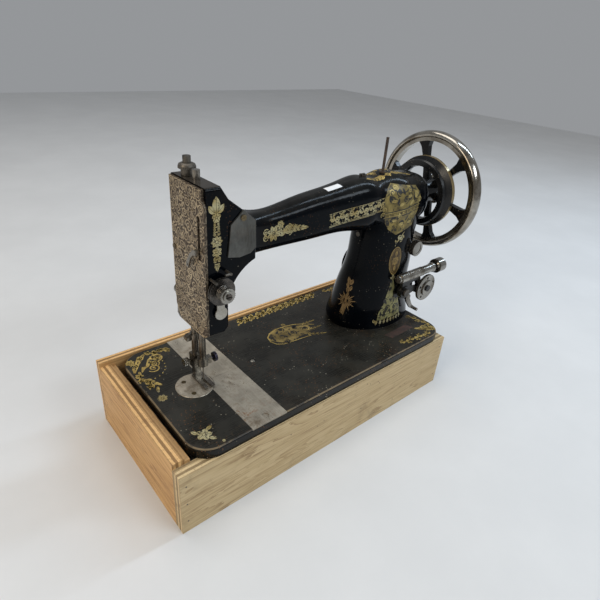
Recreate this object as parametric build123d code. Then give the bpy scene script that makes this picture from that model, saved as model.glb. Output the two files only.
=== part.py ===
"""Household sewing-machine head with a vibrating shuttle, standing in a plywood base box.

Row frame: millimetres, +Z up, +X towards the handwheel, -Y towards the operator, with the origin under
the middle of everything, at the height of the box's underside.  The box is drawn about its own middle,
and the machine in its own head frame, whose origin is the centre of the bed's top face; save_box() and
save_head() move them into the row frame.
"""
import math
import os

from build123d import *

# ---------------------------------------------------------------- driving dimensions: base box
BOX_LENGTH = 392.0
BOX_WIDTH = 190.0
END_PLY = 12.7
FRONT_PLY = 12.7
BACK_PLY = 9.0
REST_HEIGHT = 73.6          # top of the front and right panels, where the bed rests
LEFT_HEIGHT = 80.0
BACK_HEIGHT = 85.5
CLEAT_WIDTH = 5.0
LEFT_CLEAT_HEIGHT = 77.0
RIGHT_CLEAT_HEIGHT = 70.0
NAIL_R = 0.9
NAIL_HEIGHTS = (14.0, 37.0, 60.0)
HALF_L = BOX_LENGTH / 2
HALF_W = BOX_WIDTH / 2
OVERHANG = 51.5             # the wheel and its thumb screw stand out this far beyond the box
BOX_X = -OVERHANG / 2       # box middle in the row frame

# ---------------------------------------------------------------- driving dimensions: machine head
BED_LENGTH = 370.0
BED_WIDTH = 178.0
BED_LIP = 11.0
BED_PLATE = 5.0
BED_CORNER = 25.0
BED_X = BOX_X + 9.0         # bed centre in the row frame
BED_Y = -4.0
BED_TOP = REST_HEIGHT + BED_LIP

RUNNING_CLEARANCE = 0.05    # radial, shaft in its bearing

SHAFT_Z = 162.0
SHAFT_R = 5.5
NEEDLE_X = -127.4
PRESSER_X = -127.8
PRESSER_Y = 14.5
BAR_R = 3.5
NEEDLE_STROKE_MID = 12.5    # the needle bar stands this far below its mid stroke
CRANK_R = 16.0

HEAD_FACE_X = -136.0
HEAD_HALF_DEPTH = 30.0
HEAD_TOP = 218.0
HEAD_BOTTOM = 76.0
FACE_PLATE_T = 2.4
FACE_SCREW = (24.9, 150.0)
SCREW_R = 1.6
# Face plate outline: y, z.
FACE_OUTLINE = [
    (-30.4, 78.0), (-24.0, 73.4), (20.0, 73.4), (28.5, 88.0), (28.5, 216.6),
    (-26.5, 216.6), (-26.5, 208.0), (-30.4, 203.0),
]
# Shield plate outline: x, z.
SHIELD = [
    (-116.0, 154.5), (-104.0, 152.0), (-92.0, 153.5), (-86.0, 158.0), (-87.0, 184.0),
    (-100.0, 195.5), (-113.0, 184.0),
]
SHIELD_T = 1.6
SHIELD_SCREW = (-100.4, 188.8)

# Pillar sections: height, centre x, centre y, half length, half width.
PILLAR = [
    (0.0, 137.5, 7.0, 64.5, 46.0),
    (13.0, 134.5, 7.0, 64.5, 44.5),
    (28.0, 132.0, 5.0, 59.5, 41.5),
    (50.0, 131.0, 3.0, 55.0, 38.5),
    (75.0, 134.0, 1.0, 52.5, 35.0),
    (100.0, 135.5, 0.0, 49.5, 33.0),
    (125.0, 136.5, 0.0, 48.5, 32.5),
    (150.0, 138.0, 0.0, 47.0, 31.5),
]
PILLAR_RIGHT = 183.0        # the pillar's right side is flat here, just inside the end of the bed
# Arm sections: x, half width, underside, top, corner radius.
ARM = [
    (-96.0, 24.0, 141.0, 190.0, 14.0),
    (-80.0, 18.0, 139.5, 182.5, 13.0),
    (-60.0, 15.0, 138.5, 179.0, 12.5),
    (-30.0, 16.0, 138.5, 182.0, 13.5),
    (10.0, 18.5, 138.5, 188.0, 15.5),
    (50.0, 21.5, 138.0, 193.0, 18.0),
    (85.0, 25.0, 135.0, 195.5, 20.0),
    (115.0, 30.0, 131.0, 196.0, 24.0),
    (145.0, 32.0, 129.0, 194.5, 26.0),
    (167.0, 31.0, 131.0, 192.0, 26.0),
]
ARM_END_ROUND = 20.5
ARM_WALL = 5.0
PILLAR_WALL = 6.5
ARM_BOLT_X = (88.0, 162.0)
ARM_BOLT_Y = 7.0
ARM_BOLT_R = 3.5
REAR_COVER = (133.0, 66.0)
REAR_COVER_R = 23.0

NEEDLE_PLATE_X = -138.0
NEEDLE_PLATE_R = 20.0
NEEDLE_PLATE_T = 2.2
FEED_ROWS = ((-131.6, 9.0), (-123.8, 5.0))      # place across the bed and half length of each row
FEED_ROW_W = 2.4
SLIDE_X0 = -126.0
SLIDE_X1 = -83.5
SLIDE_T = 1.8
OIL_HOLE = (-63.0, 1.0)

PIVOT_X = 60.0              # vibrating lever's stud
SHUTTLE_ARM = 174.0
LEVER_REST_DEG = 10.0
TAIL_ARM = 60.0
ROCKER_X = 119.0
ROCKER_PIVOT_Z = 125.0
LEVER_Z = -20.0             # mid height of the vibrating lever's bar
ROCK_Y = 47.0
ROCK_Z = -32.0
ROCK_SHAFT_LUGS = ((-172.0, -162.0), (96.0, 106.0))
FEED_BAR_X = -138.0
FEED_PIN_Z = -11.5

WHEEL_X = 216.0
WHEEL_R = 75.2
PULLEY_R = 45.5
HUB_R = 15.0
SPOKES = 6
WHEEL_TURN = 45.5           # degrees the first spoke leans forward of upright
ARM_END_X = 187.5
BUSH_R = 9.0
BUSHES = ((-106.0, -90.0), (152.0, ARM_END_X))

TAKE_UP_X = -98.0
TAKE_UP_Y = -20.8
TAKE_UP_Z = 173.0

PRESSURE_SCREW_R = 5.0
LIFTER_X = -131.5
LIFTER_Z = 100.0
LIFTER_THROW = 3.6
LIFTER_LOBE_R = 3.0

TENSION_X = -125.5
TENSION_Z = 125.0
TENSION_POST_R = 3.0
REGULATOR_X = 163.0
REGULATOR_Z = 103.0
SPOOL_X = 117.0
SPOOL_SEAT_Z = 196.2
RING_X = 84.0
RING_SEAT_Z = 195.8
RING_WIRE_X = 78.5

WINDER_Y = -43.0
WINDER_Z = 71.0
WORM_WHEEL_X = 183.5
WORM_WHEEL_R = 18.5
WORM_R = 5.5
WORM_GAP = 0.4
WHEEL_CENTRE_Z = WINDER_Z - WORM_R - WORM_WHEEL_R - WORM_GAP
WINDER_PIVOT = (142.0, 50.0)
WINDER_PIN_R = 2.6
SPINDLE_R = 2.5
GUIDE_PIVOT = (161.0, 34.0)

AXIS_DIR = {"x": (1, 0, 0), "y": (0, 1, 0), "z": (0, 0, 1)}


# ---------------------------------------------------------------- helpers
def block(x0, x1, y0, y1, z0, z1):
    """Box between two corners."""
    centre = ((x0 + x1) / 2, (y0 + y1) / 2, (z0 + z1) / 2)
    return Pos(*centre) * Box(abs(x1 - x0), abs(y1 - y0), abs(z1 - z0))


def rod(axis, start, end, radius, across=(0, 0)):
    """Cylinder along a row axis from start to end; across is its place on the other two axes."""
    a, b = across
    origin = {"x": (start, a, b), "y": (a, start, b), "z": (a, b, start)}[axis]
    plane = Plane(origin=origin, z_dir=AXIS_DIR[axis])
    return extrude(plane * Circle(radius), end - start)


def tube(axis, start, end, outer, inner, across=(0, 0)):
    """Hollow cylinder along a row axis."""
    over = 1.0 if end > start else -1.0
    return rod(axis, start, end, outer, across) - rod(axis, start - over, end + over, inner, across)


def turned(axis, profile, across=(0, 0)):
    """Solid of revolution about a row axis; profile is (along, radius) points, closed on the axis."""
    a, b = across
    origin = {"x": (0, a, b), "y": (a, 0, b), "z": (a, b, 0)}[axis]
    side = {"x": (0, 0, 1), "y": (0, 0, 1), "z": (1, 0, 0)}[axis]
    plane = Plane(origin=origin, x_dir=side, z_dir=cross(side, AXIS_DIR[axis]))
    points = [(radius, along) for along, radius in profile]
    return revolve(plane * make_face(Polyline(*points, close=True)), Axis(origin, AXIS_DIR[axis]), 360)


def cross(a, b):
    """Cross product of two triples."""
    return (a[1] * b[2] - a[2] * b[1], a[2] * b[0] - a[0] * b[2], a[0] * b[1] - a[1] * b[0])


def plate_xz(outline, y0, y1):
    """Flat plate parallel to the XZ plane from an outline of (x, z) points."""
    plane = Plane(origin=(0, y0, 0), x_dir=(1, 0, 0), z_dir=(0, -1, 0))
    return extrude(plane * make_face(Polyline(*outline, close=True)), y0 - y1)


def plate_yz(outline, x0, x1):
    """Flat plate parallel to the YZ plane from an outline of (y, z) points."""
    plane = Plane(origin=(x0, 0, 0), x_dir=(0, 1, 0), z_dir=(1, 0, 0))
    return extrude(plane * make_face(Polyline(*outline, close=True)), x1 - x0)


def knurled(axis, start, end, radius, across, teeth=24, depth=0.5):
    """Thumb disc with a coarse straight knurl cut in its rim."""
    disc = rod(axis, start, end, radius, across)
    cutter_r = depth * 1.6
    over = 1.0 if end > start else -1.0
    cuts = []
    for i in range(teeth):
        turn = 2 * math.pi * i / teeth
        reach = radius + cutter_r - depth
        a = across[0] + reach * math.cos(turn)
        b = across[1] + reach * math.sin(turn)
        cuts.append(rod(axis, start - over, end + over, cutter_r, (a, b)))
    return disc - Compound(children=cuts)


def coil(start, end, radius, wire, turns, axis_x, axis_y):
    """Compression spring standing along Z."""
    path = Helix(pitch=(end - start) / turns, height=end - start, radius=radius)
    section = Plane(origin=path @ 0, z_dir=path % 0) * Circle(wire)
    return Pos(axis_x, axis_y, start) * sweep(section, path)


def slotted_screw(axis, start, end, head_r, shank_r, shank_end, across):
    """Screw with a slotted head from start to end and a plain shank on to shank_end."""
    head = rod(axis, start, end, head_r, across)
    shank = rod(axis, end, shank_end, shank_r, across)
    inward = 1.0 if end > start else -1.0
    depth = 0.45 * abs(end - start)
    a, b = across
    if axis == "y":
        slot = block(a - head_r - 1, a + head_r + 1, start - inward, start + inward * depth, b - 0.5, b + 0.5)
    elif axis == "x":
        slot = block(start - inward, start + inward * depth, a - 0.5, a + 0.5, b - head_r - 1, b + head_r + 1)
    else:
        slot = block(a - head_r - 1, a + head_r + 1, b - 0.5, b + 0.5, start - inward, start + inward * depth)
    return head + shank - slot


def save(node, shape):
    """Write one node in the row frame."""
    solids = shape.solids()
    kept = solids[0] if len(solids) == 1 else Compound(children=list(solids))
    kept.label = node
    export_step(kept, f"parts/{node}.step")
    print(f"{node:26s} {len(solids):3d} solids  {sum(s.volume for s in solids) / 1000:9.2f} cm3")


def save_box(node, shape):
    """Write one node drawn about the box's own middle."""
    save(node, Pos(BOX_X, 0, 0) * shape)


def save_head(node, shape):
    """Write one node drawn in the head frame."""
    save(node, Pos(BED_X, BED_Y, BED_TOP) * shape)


# ---------------------------------------------------------------- base box
def make_box():
    """Four plywood panels, the cleats that line the ends, and the nails that hold them."""
    nails = []
    for sign, face, ply in ((-1, -HALF_W, FRONT_PLY), (1, HALF_W, BACK_PLY)):
        for end in (-1, 1):
            for z in NAIL_HEIGHTS:
                x = end * (HALF_L - END_PLY / 2)
                nails.append(rod("y", face, face - sign * (ply + 12.0), NAIL_R, (x, z)))
    nails = Compound(children=nails)
    save_box("box_nails", nails)
    left = -HALF_L + END_PLY
    right = HALF_L - END_PLY
    inside = (-HALF_W + FRONT_PLY, HALF_W - BACK_PLY)
    front = block(-HALF_L, HALF_L, -HALF_W, inside[0], 0, REST_HEIGHT)
    save_box("box_front_panel", front - nails)
    back = block(-HALF_L, HALF_L, inside[1], HALF_W, 0, BACK_HEIGHT)
    save_box("box_back_panel", back - nails)
    save_box("box_left_panel", block(-HALF_L, left, *inside, 0, LEFT_HEIGHT) - nails)
    save_box("box_right_panel", block(right, HALF_L, *inside, 0, REST_HEIGHT) - nails)
    cleats = [
        block(left, left + CLEAT_WIDTH, *inside, 0, LEFT_CLEAT_HEIGHT),
        block(right - CLEAT_WIDTH, right, *inside, 0, RIGHT_CLEAT_HEIGHT),
    ]
    save_box("box_cleats", Compound(children=cleats))


# ---------------------------------------------------------------- bed and what is set into it
def bed_outline(inset=0.0):
    return RectangleRounded(BED_LENGTH - 2 * inset, BED_WIDTH - 2 * inset, BED_CORNER - inset)


def slide_strip(clearance, z0, z1):
    """Strip that the two slide plates fill, less the needle plate's round seat."""
    strip = block(SLIDE_X0 + clearance, SLIDE_X1 - clearance, -BED_WIDTH, BED_WIDTH, z0, z1)
    return strip - rod("z", z0 - 1, z1 + 1, NEEDLE_PLATE_R + 0.2 + clearance, (NEEDLE_PLATE_X, 0))


def make_bed():
    body = extrude(bed_outline(), -BED_LIP)
    body = fillet(body.faces().sort_by(Axis.Z)[-1].edges(), 2.2)
    body -= Pos(0, 0, -BED_PLATE) * extrude(bed_outline(9.0), -BED_LIP)
    body -= slide_strip(0.0, -SLIDE_T - 0.1, 5.0)
    body -= rod("z", -NEEDLE_PLATE_T, 5, NEEDLE_PLATE_R + 0.2, (NEEDLE_PLATE_X, 0))
    body -= rod("z", -30, 5, NEEDLE_PLATE_R - 4.5, (NEEDLE_PLATE_X, 0))
    body -= block(-122, -88, -70, 70, -30, 5)
    body -= block(-128, -121, -10, 10, -30, -NEEDLE_PLATE_T)
    body -= block(ROCKER_X - 13, ROCKER_X + 13, -27, 27, -30, 5)
    for x in ARM_BOLT_X:
        body -= rod("z", -30, 5, 4.2, (x, ARM_BOLT_Y))
    body -= rod("z", -30, -2.5, 4.0, (PIVOT_X, 0))
    body -= rod("z", -2.5, 5, 3.0, OIL_HOLE)
    for x0, x1 in ROCK_SHAFT_LUGS:
        lug = block(x0, x1, ROCK_Y - 8, ROCK_Y + 8, ROCK_Z - 8, -BED_PLATE)
        body += lug - rod("x", x0 - 1, x1 + 1, 4.0, (ROCK_Y, ROCK_Z))
    save_head("bed", body)


def make_slides():
    front = slide_strip(0.3, -SLIDE_T, 0.0) & block(-150, -50, -BED_WIDTH / 2 + 0.6, -0.15, -5, 5)
    rear = slide_strip(0.3, -SLIDE_T, 0.0) & block(-150, -50, 0.15, BED_WIDTH / 2 - 0.6, -5, 5)
    for sign, plate, name in ((-1, front, "slide_plate_front"), (1, rear, "slide_plate_rear")):
        notch = rod("z", -1.0, 2.0, 3.5, (-104.5, sign * (BED_WIDTH / 2 - 9)))
        save_head(name, plate - notch)


def make_needle_plate():
    disc = rod("z", -NEEDLE_PLATE_T, 0.3, NEEDLE_PLATE_R, (NEEDLE_PLATE_X, 0))
    disc = chamfer(disc.faces().sort_by(Axis.Z)[-1].edges(), 0.25)
    disc -= rod("z", -5, 5, 1.3, (NEEDLE_X, 0))
    for x, reach in FEED_ROWS:
        half = FEED_ROW_W / 2 + 0.5
        disc -= block(x - half, x + half, -reach - 3.5, reach + 3.5, -5, 5)
    screws = []
    for y in (-11.0, 11.0):
        place = (NEEDLE_PLATE_X - 7, y)
        disc -= rod("z", -1.2, 5, 2.6, place)
        disc -= rod("z", -5, 5, 1.6, place)
        screws.append(slotted_screw("z", 0.2, -1.2, 2.5, 1.5, -4.6, place))
    save_head("needle_plate", disc)
    return screws


# ---------------------------------------------------------------- arm, pillar and head casting


def arm_section(x, half_w, low, high, corner):
    plane = Plane(origin=(x, 0, (low + high) / 2), x_dir=(0, 1, 0), z_dir=(1, 0, 0))
    return plane * RectangleRounded(2 * half_w, high - low, corner)


def arm_body(inset):
    """Lofted arm; the last sections round its end over like a quarter circle."""
    sections = []
    for x, half_w, low, high, corner in ARM:
        tight = min(corner, half_w - inset - 0.5, (high - low) / 2 - inset - 0.5)
        sections.append(arm_section(x, half_w - inset, low + inset, high - inset, tight))
    if inset == 0.0:
        x, half_w, low, high, corner = ARM[-1]
        for angle in (30, 55, 75):
            along = ARM_END_ROUND * math.sin(math.radians(angle))
            shrink = ARM_END_ROUND * (1 - math.cos(math.radians(angle)))
            tight = max(corner - shrink, 9.0)
            sections.append(arm_section(x + along, half_w - shrink, low + shrink, high - shrink, tight))
    return loft(sections)


def pillar_body(inset):
    sections = []
    for z, cx, cy, half_l, half_w in PILLAR:
        sections.append(Pos(cx, cy, z) * Ellipse(half_l - inset, half_w - inset))
    return loft(sections) & block(0, PILLAR_RIGHT - inset, -60, 60, -5, 160)


def neck_block():
    """Head and neck: a deep slab whose underside sweeps from the head into the arm."""
    top = Polyline((-84, 183), (-97, 193.5), (-113, 206), (-121, HEAD_TOP), (HEAD_FACE_X, HEAD_TOP))
    left = Polyline((HEAD_FACE_X, HEAD_TOP), (HEAD_FACE_X, HEAD_BOTTOM), (-119, HEAD_BOTTOM), (-114, 81),
                    (-114, 98))
    sweep_under = ThreePointArc((-114, 98), (-104, 131), (-84, 145))
    right = Line((-84, 145), (-84, 183))
    plane = Plane(origin=(0, -HEAD_HALF_DEPTH, 0), x_dir=(1, 0, 0), z_dir=(0, -1, 0))
    face = plane * make_face([top, left, sweep_under, right])
    slab = extrude(face, -2 * HEAD_HALF_DEPTH)
    rims = [e for e in slab.edges() if abs(abs(e.center().Y) - HEAD_HALF_DEPTH) < 0.1]
    rims = [e for e in rims if e.bounding_box().max.X > HEAD_FACE_X + 1]
    return fillet(rims, 3.0)


def head_cavities():
    """Room inside the head for the bars, the crank and the take-up lever."""
    room = block(HEAD_FACE_X - 5, -118, -26, 26, HEAD_BOTTOM + 8, HEAD_TOP - 8)
    room += rod("x", -119, -106, 20.5, (0, SHAFT_Z))
    room += block(-119, -91, -25, -18, 152, 186)
    room += block(-111, -90, -HEAD_HALF_DEPTH - 1, -20, 160, 180)
    room += rod("z", 60, HEAD_BOTTOM + 9, BAR_R + RUNNING_CLEARANCE, (NEEDLE_X, 0))
    room += rod("z", HEAD_TOP - 9, 240, BAR_R + RUNNING_CLEARANCE, (NEEDLE_X, 0))
    room += rod("z", 60, HEAD_BOTTOM + 9, BAR_R + RUNNING_CLEARANCE, (PRESSER_X, PRESSER_Y))
    room += rod("z", HEAD_TOP - 9, 240, PRESSURE_SCREW_R + RUNNING_CLEARANCE, (PRESSER_X, PRESSER_Y))
    room += rod("y", 25, 40, 2.5 + RUNNING_CLEARANCE, (LIFTER_X, LIFTER_Z))
    room += rod("y", -40, -25, TENSION_POST_R, (TENSION_X, TENSION_Z))
    room += rod("y", -28, -17, 3.5, (TAKE_UP_X, TAKE_UP_Z))
    return room


def make_casting():
    body = pillar_body(0.0) + arm_body(0.0) + neck_block()
    cover_x, cover_z = REAR_COVER
    body += rod("y", 10, 38, REAR_COVER_R + 2.5, (cover_x, cover_z))
    inner = arm_body(ARM_WALL) & block(-80, 150, -60, 60, 100, 220)
    inner += pillar_body(PILLAR_WALL) & block(0, 260, -60, 60, 9, 150)
    body -= inner
    body -= head_cavities()
    body -= block(ROCKER_X - 12, ROCKER_X + 12, -25, 25, -5, 12)
    body -= rod("y", 0, 50, REAR_COVER_R - 4, (cover_x, cover_z))
    body -= rod("y", 38, 60, REAR_COVER_R + 2.5, (cover_x, cover_z))
    for x in ARM_BOLT_X:
        body -= rod("z", -1, 8, ARM_BOLT_R, (x, ARM_BOLT_Y))
    body -= rod("x", -107, ARM_END_X + 1, SHAFT_R + 1.0, (0, SHAFT_Z))
    for start, end in BUSHES:
        body -= rod("x", start - 0.5, end + 0.5, BUSH_R, (0, SHAFT_Z))
    body -= rod("x", HEAD_FACE_X - 1, HEAD_FACE_X + 4, SCREW_R, FACE_SCREW)
    body -= rod("y", -HEAD_HALF_DEPTH - 1, -HEAD_HALF_DEPTH + 4, SCREW_R, SHIELD_SCREW)
    body -= rod("z", 188, 199, 1.8, (SPOOL_X, 0)) + rod("z", SPOOL_SEAT_Z, 205, 4.1, (SPOOL_X, 0))
    body -= rod("z", 188, 199, 1.6, (RING_X, 0)) + rod("z", RING_SEAT_Z, 205, 3.7, (RING_X, 0))
    body -= rod("z", 188, 199, 1.0, (RING_WIRE_X, 0))
    body -= rod("x", 60, ROCKER_X + 10, 3.0, (0, ROCKER_PIVOT_Z))
    body -= rod("y", -40, -29.5, WINDER_PIN_R, WINDER_PIVOT)
    regulator = (REGULATOR_X, REGULATOR_Z)
    body -= rod("y", -40, -15, 3.0 + RUNNING_CLEARANCE, regulator)
    body -= rod("y", -45, -28.3, 6.8, regulator) + rod("y", -45, -30.7, 10.4, regulator)
    save_head("arm_casting", body)


def make_arm_bolts():
    bolts = []
    for x in ARM_BOLT_X:
        place = (x, ARM_BOLT_Y)
        bolts.append(rod("z", -5, 8, ARM_BOLT_R, place) + rod("z", -BED_PLATE - 5, -BED_PLATE, 7.0, place))
    return bolts


def make_face_plate():
    """Flat plate over the head's open end, slotted for the take-up lever."""
    outside = HEAD_FACE_X - FACE_PLATE_T
    plate = plate_yz(FACE_OUTLINE, HEAD_FACE_X, outside)
    plate -= block(-150, -130, TAKE_UP_Y - 1.7, TAKE_UP_Y + 1.7, 153, 193)
    plate -= rod("x", HEAD_FACE_X - 5, HEAD_FACE_X + 5, SCREW_R, FACE_SCREW)
    save_head("face_plate", plate)
    return [slotted_screw("x", outside - 0.9, outside, 2.8, SCREW_R, HEAD_FACE_X + 4, FACE_SCREW)]


def make_covers():
    """Shield-shaped plate over the take-up's opening and round plate on the pillar's back."""
    y0 = -HEAD_HALF_DEPTH
    plate = plate_xz(SHIELD, y0, y0 - SHIELD_T)
    plate -= rod("y", y0 - 5, y0 + 5, SCREW_R, SHIELD_SCREW)
    save_head("front_cover_plate", plate)
    screws = [slotted_screw("y", y0 - SHIELD_T - 1.2, y0 - SHIELD_T, 2.8, SCREW_R, y0 + 4, SHIELD_SCREW)]
    cover_x, cover_z = REAR_COVER
    disc = rod("y", 38, 40, REAR_COVER_R, REAR_COVER)
    disc = chamfer(disc.faces().sort_by(Axis.Y)[-1].edges(), 0.8)
    screw_at = (cover_x, cover_z + REAR_COVER_R - 5)
    disc -= rod("y", 30, 50, 1.8, screw_at)
    save_head("rear_cover_plate", disc)
    screws.append(slotted_screw("y", 41.5, 40, 3.2, 1.8, 39, screw_at))
    return screws


# ---------------------------------------------------------------- arm shaft and handwheel
def make_shaft():
    shaft = rod("x", -110, 229, SHAFT_R, (0, SHAFT_Z))
    shaft += turned("x", [(112, 0), (112, 8.5), (126, 8.5), (126, 0)], (2.0, SHAFT_Z))
    shaft += rod("x", 229, 238, 4.0, (0, SHAFT_Z))
    save_head("arm_shaft", shaft)
    bushes = [tube("x", a, b, BUSH_R, SHAFT_R + RUNNING_CLEARANCE, (0, SHAFT_Z)) for a, b in BUSHES]
    save_head("shaft_bushes", Compound(children=bushes))
    crank = rod("x", -110, -116, 18.3, (0, SHAFT_Z))
    crank -= block(-120, -100, -30, 30, SHAFT_Z + 6, SHAFT_Z + 40)
    crank += rod("x", -110, -116, 10.0, (0, SHAFT_Z))
    crank += rod("x", -106.4, -110, 7.0, (0, SHAFT_Z))
    crank -= rod("x", -103, -110, SHAFT_R, (0, SHAFT_Z))
    crank += rod("x", -116, -118.9, 2.0, (0, SHAFT_Z - CRANK_R))
    save_head("needle_bar_crank", crank)


def spoke(turn):
    """One flared spoke from the hub to the rim."""
    right = [(6.0, 10), (4.3, 28), (3.9, 46), (5.2, 56), (9.8, 64.5)]
    outline = right + [(-half, along) for half, along in reversed(right)]
    plane = Plane(origin=(WHEEL_X - 5.0, 0, 0), x_dir=(0, 1, 0), z_dir=(1, 0, 0))
    solid = extrude(plane * make_face(Polyline(*outline, close=True)), 8.0)
    edges = [e for e in solid.edges() if e.length > 12 and abs(e.center().X - WHEEL_X + 1) > 3.9]
    return Rot(turn, 0, 0) * fillet(edges, 2.2)


def make_handwheel():
    centre = (0, SHAFT_Z)
    rim_plane = Plane(origin=(WHEEL_X, 0, SHAFT_Z), x_dir=(0, 0, 1), z_dir=(0, 1, 0))
    axis = Axis((0, 0, SHAFT_Z), (1, 0, 0))
    rim = revolve(rim_plane * (Pos(WHEEL_R - 4.7, 0) * Ellipse(4.7, 7.8)), axis, 360)
    inner_rim = tube("x", WHEEL_X - 5.2, WHEEL_X + 5.2, 68.5, 62.8, centre)
    hub = turned("x", [(189, 0), (189, 12.5), (193, HUB_R), (221, HUB_R), (226, 13), (226, 0)], centre)
    groove = [(190, 34), (190, 40.5), (192.5, 42), (198.5, 37), (204, PULLEY_R), (208.5, PULLEY_R)]
    pulley = turned("x", groove + [(213, 42), (213, 36), (198.5, 32.5)], centre)
    rim += inner_rim
    save_head("handwheel_rim", rim)
    spider = hub
    for i in range(SPOKES):
        spider += Pos(0, 0, SHAFT_Z) * spoke(360 / SPOKES * i + WHEEL_TURN)
    spider -= rod("x", 180, 240, SHAFT_R, centre)
    save_head("handwheel", spider - rim)
    save_head("belt_pulley", pulley - spider)
    knob = knurled("x", 227.2, 235, 19, centre, teeth=40, depth=0.6)
    knob += rod("x", 235, 238.5, 9, centre)
    knob -= rod("x", 220, 240, 5.5, centre)
    knob += tube("x", 231, 238.5, 5.6, 4.0 + RUNNING_CLEARANCE, centre)
    save_head("stop_motion_screw", knob)
    save_head("clamp_washer", tube("x", 226.0, 227.0, 13, SHAFT_R, centre))


# ---------------------------------------------------------------- needle bar and take-up
def make_needle_bar():
    bar = rod("z", 22, 226, BAR_R, (NEEDLE_X, 0))
    bar -= rod("z", 20, 31, 1.0, (NEEDLE_X, 0))
    save_head("needle_bar", bar)
    yoke_z = SHAFT_Z - NEEDLE_STROKE_MID
    yoke = rod("z", yoke_z - 5, yoke_z + 5, 5.4, (NEEDLE_X, 0)) - rod("z", 100, 200, BAR_R, (NEEDLE_X, 0))
    rail = block(-122.6, -119.5, -17.5, 17.5, yoke_z - 6.5, yoke_z + 6.5)
    rail -= block(-130, -110, -15, 15, yoke_z - 2.5, yoke_z + 2.5)
    rail -= rod("z", 100, 200, BAR_R, (NEEDLE_X, 0))
    save_head("needle_bar_yoke", yoke + rail)
    clamp = rod("z", 23, 32, 5.6, (NEEDLE_X, 0)) + block(NEEDLE_X, NEEDLE_X + 9.0, -3.2, 3.2, 24, 31)
    clamp -= rod("z", 10, 40, BAR_R, (NEEDLE_X, 0))
    clamp -= rod("x", NEEDLE_X, NEEDLE_X + 12, 1.6 + RUNNING_CLEARANCE, (0, 27.5))
    save_head("needle_clamp", clamp)
    screw = rod("x", NEEDLE_X + 3.9, NEEDLE_X + 13, 1.6, (0, 27.5))
    screw += knurled("x", NEEDLE_X + 12.5, NEEDLE_X + 15.5, 5.2, (0, 27.5), teeth=20, depth=0.35)
    save_head("needle_clamp_screw", screw)
    needle = turned("z", [(31, 0), (31, 1.0), (20, 1.0), (17, 0.55), (-6, 0.5), (-9.5, 0.0)], (NEEDLE_X, 0))
    save_head("needle", needle)


def make_take_up():
    """Lever on a pivot screw inside the neck, out through the face plate's slot to a hooked end."""
    half_t = 1.0
    body = rod("y", TAKE_UP_Y - half_t - 1, TAKE_UP_Y + half_t + 0.6, 5.2, (TAKE_UP_X, TAKE_UP_Z))
    arm = [(-98, 175.5), (-98, 169.8), (-139, 160.4), (-143.4, 158.6), (-143.4, 163.6), (-139, 163.6)]
    body += plate_xz(arm, TAKE_UP_Y + half_t, TAKE_UP_Y - half_t)
    hook = [(-21.8, 158.7), (-21.8, 163.5), (-17.5, 162.6), (-12.0, 157.5), (-8.0, 151.8), (-5.2, 146.0),
            (-5.0, 143.0), (-8.6, 142.6), (-9.8, 146.6), (-12.8, 152.4), (-17.0, 157.4)]
    tip = plate_yz(hook, -143.4, -141.6)
    tip -= rod("x", -150, -130, 0.9, (-7.3, 145.2))
    body += tip
    body -= rod("y", -40, 0, 3.0 + RUNNING_CLEARANCE, (TAKE_UP_X, TAKE_UP_Z))
    save_head("take_up_lever", body)
    pivot = rod("y", -25, -17, 3.0, (TAKE_UP_X, TAKE_UP_Z))
    pivot += rod("y", -28, -25, 3.5, (TAKE_UP_X, TAKE_UP_Z))
    return pivot


# ---------------------------------------------------------------- presser bar
def make_presser():
    place = (PRESSER_X, PRESSER_Y)
    bar = rod("z", 16, 118, BAR_R, place) + rod("z", 118, 187, 2.6, place)
    save_head("presser_bar", bar)
    low = LIFTER_Z + LIFTER_LOBE_R + 0.3
    guide = rod("z", low, 118, 5.4, place) + block(-134, -121.5, PRESSER_Y, 24.5, low, low + 5)
    guide -= rod("z", 50, 150, BAR_R, place)
    save_head("presser_bar_guide", guide)
    save_head("presser_spring", coil(119.2, 194.6, 3.55, 0.6, 14, *place))
    screw = rod("z", 196, 224, PRESSURE_SCREW_R, place)
    screw += rod("z", 218.4, 224, PRESSURE_SCREW_R + 0.5, place)
    screw += knurled("z", 224, 225.9, 7.9, place, teeth=26, depth=0.4)
    screw += turned("z", [(225.9, 0), (225.9, 7.7), (227.6, 7.2), (228.6, 5.2), (228.6, 0)], place)
    screw += rod("z", 228.6, 234.5, 3.6, place)
    screw -= block(PRESSER_X - 6, PRESSER_X + 6, PRESSER_Y - 0.6, PRESSER_Y + 0.6, 232.5, 236)
    save_head("pressure_screw", screw)
    cutter = block(-137.5, -131, 12.5, 16.5, 48, 56) + block(-139, -136.5, 9.5, 17, 50.5, 54)
    cutter += rod("z", 48, 56, 5.0, place)
    cutter -= rod("z", 40, 60, BAR_R, place)
    save_head("thread_cutter", cutter)


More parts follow.
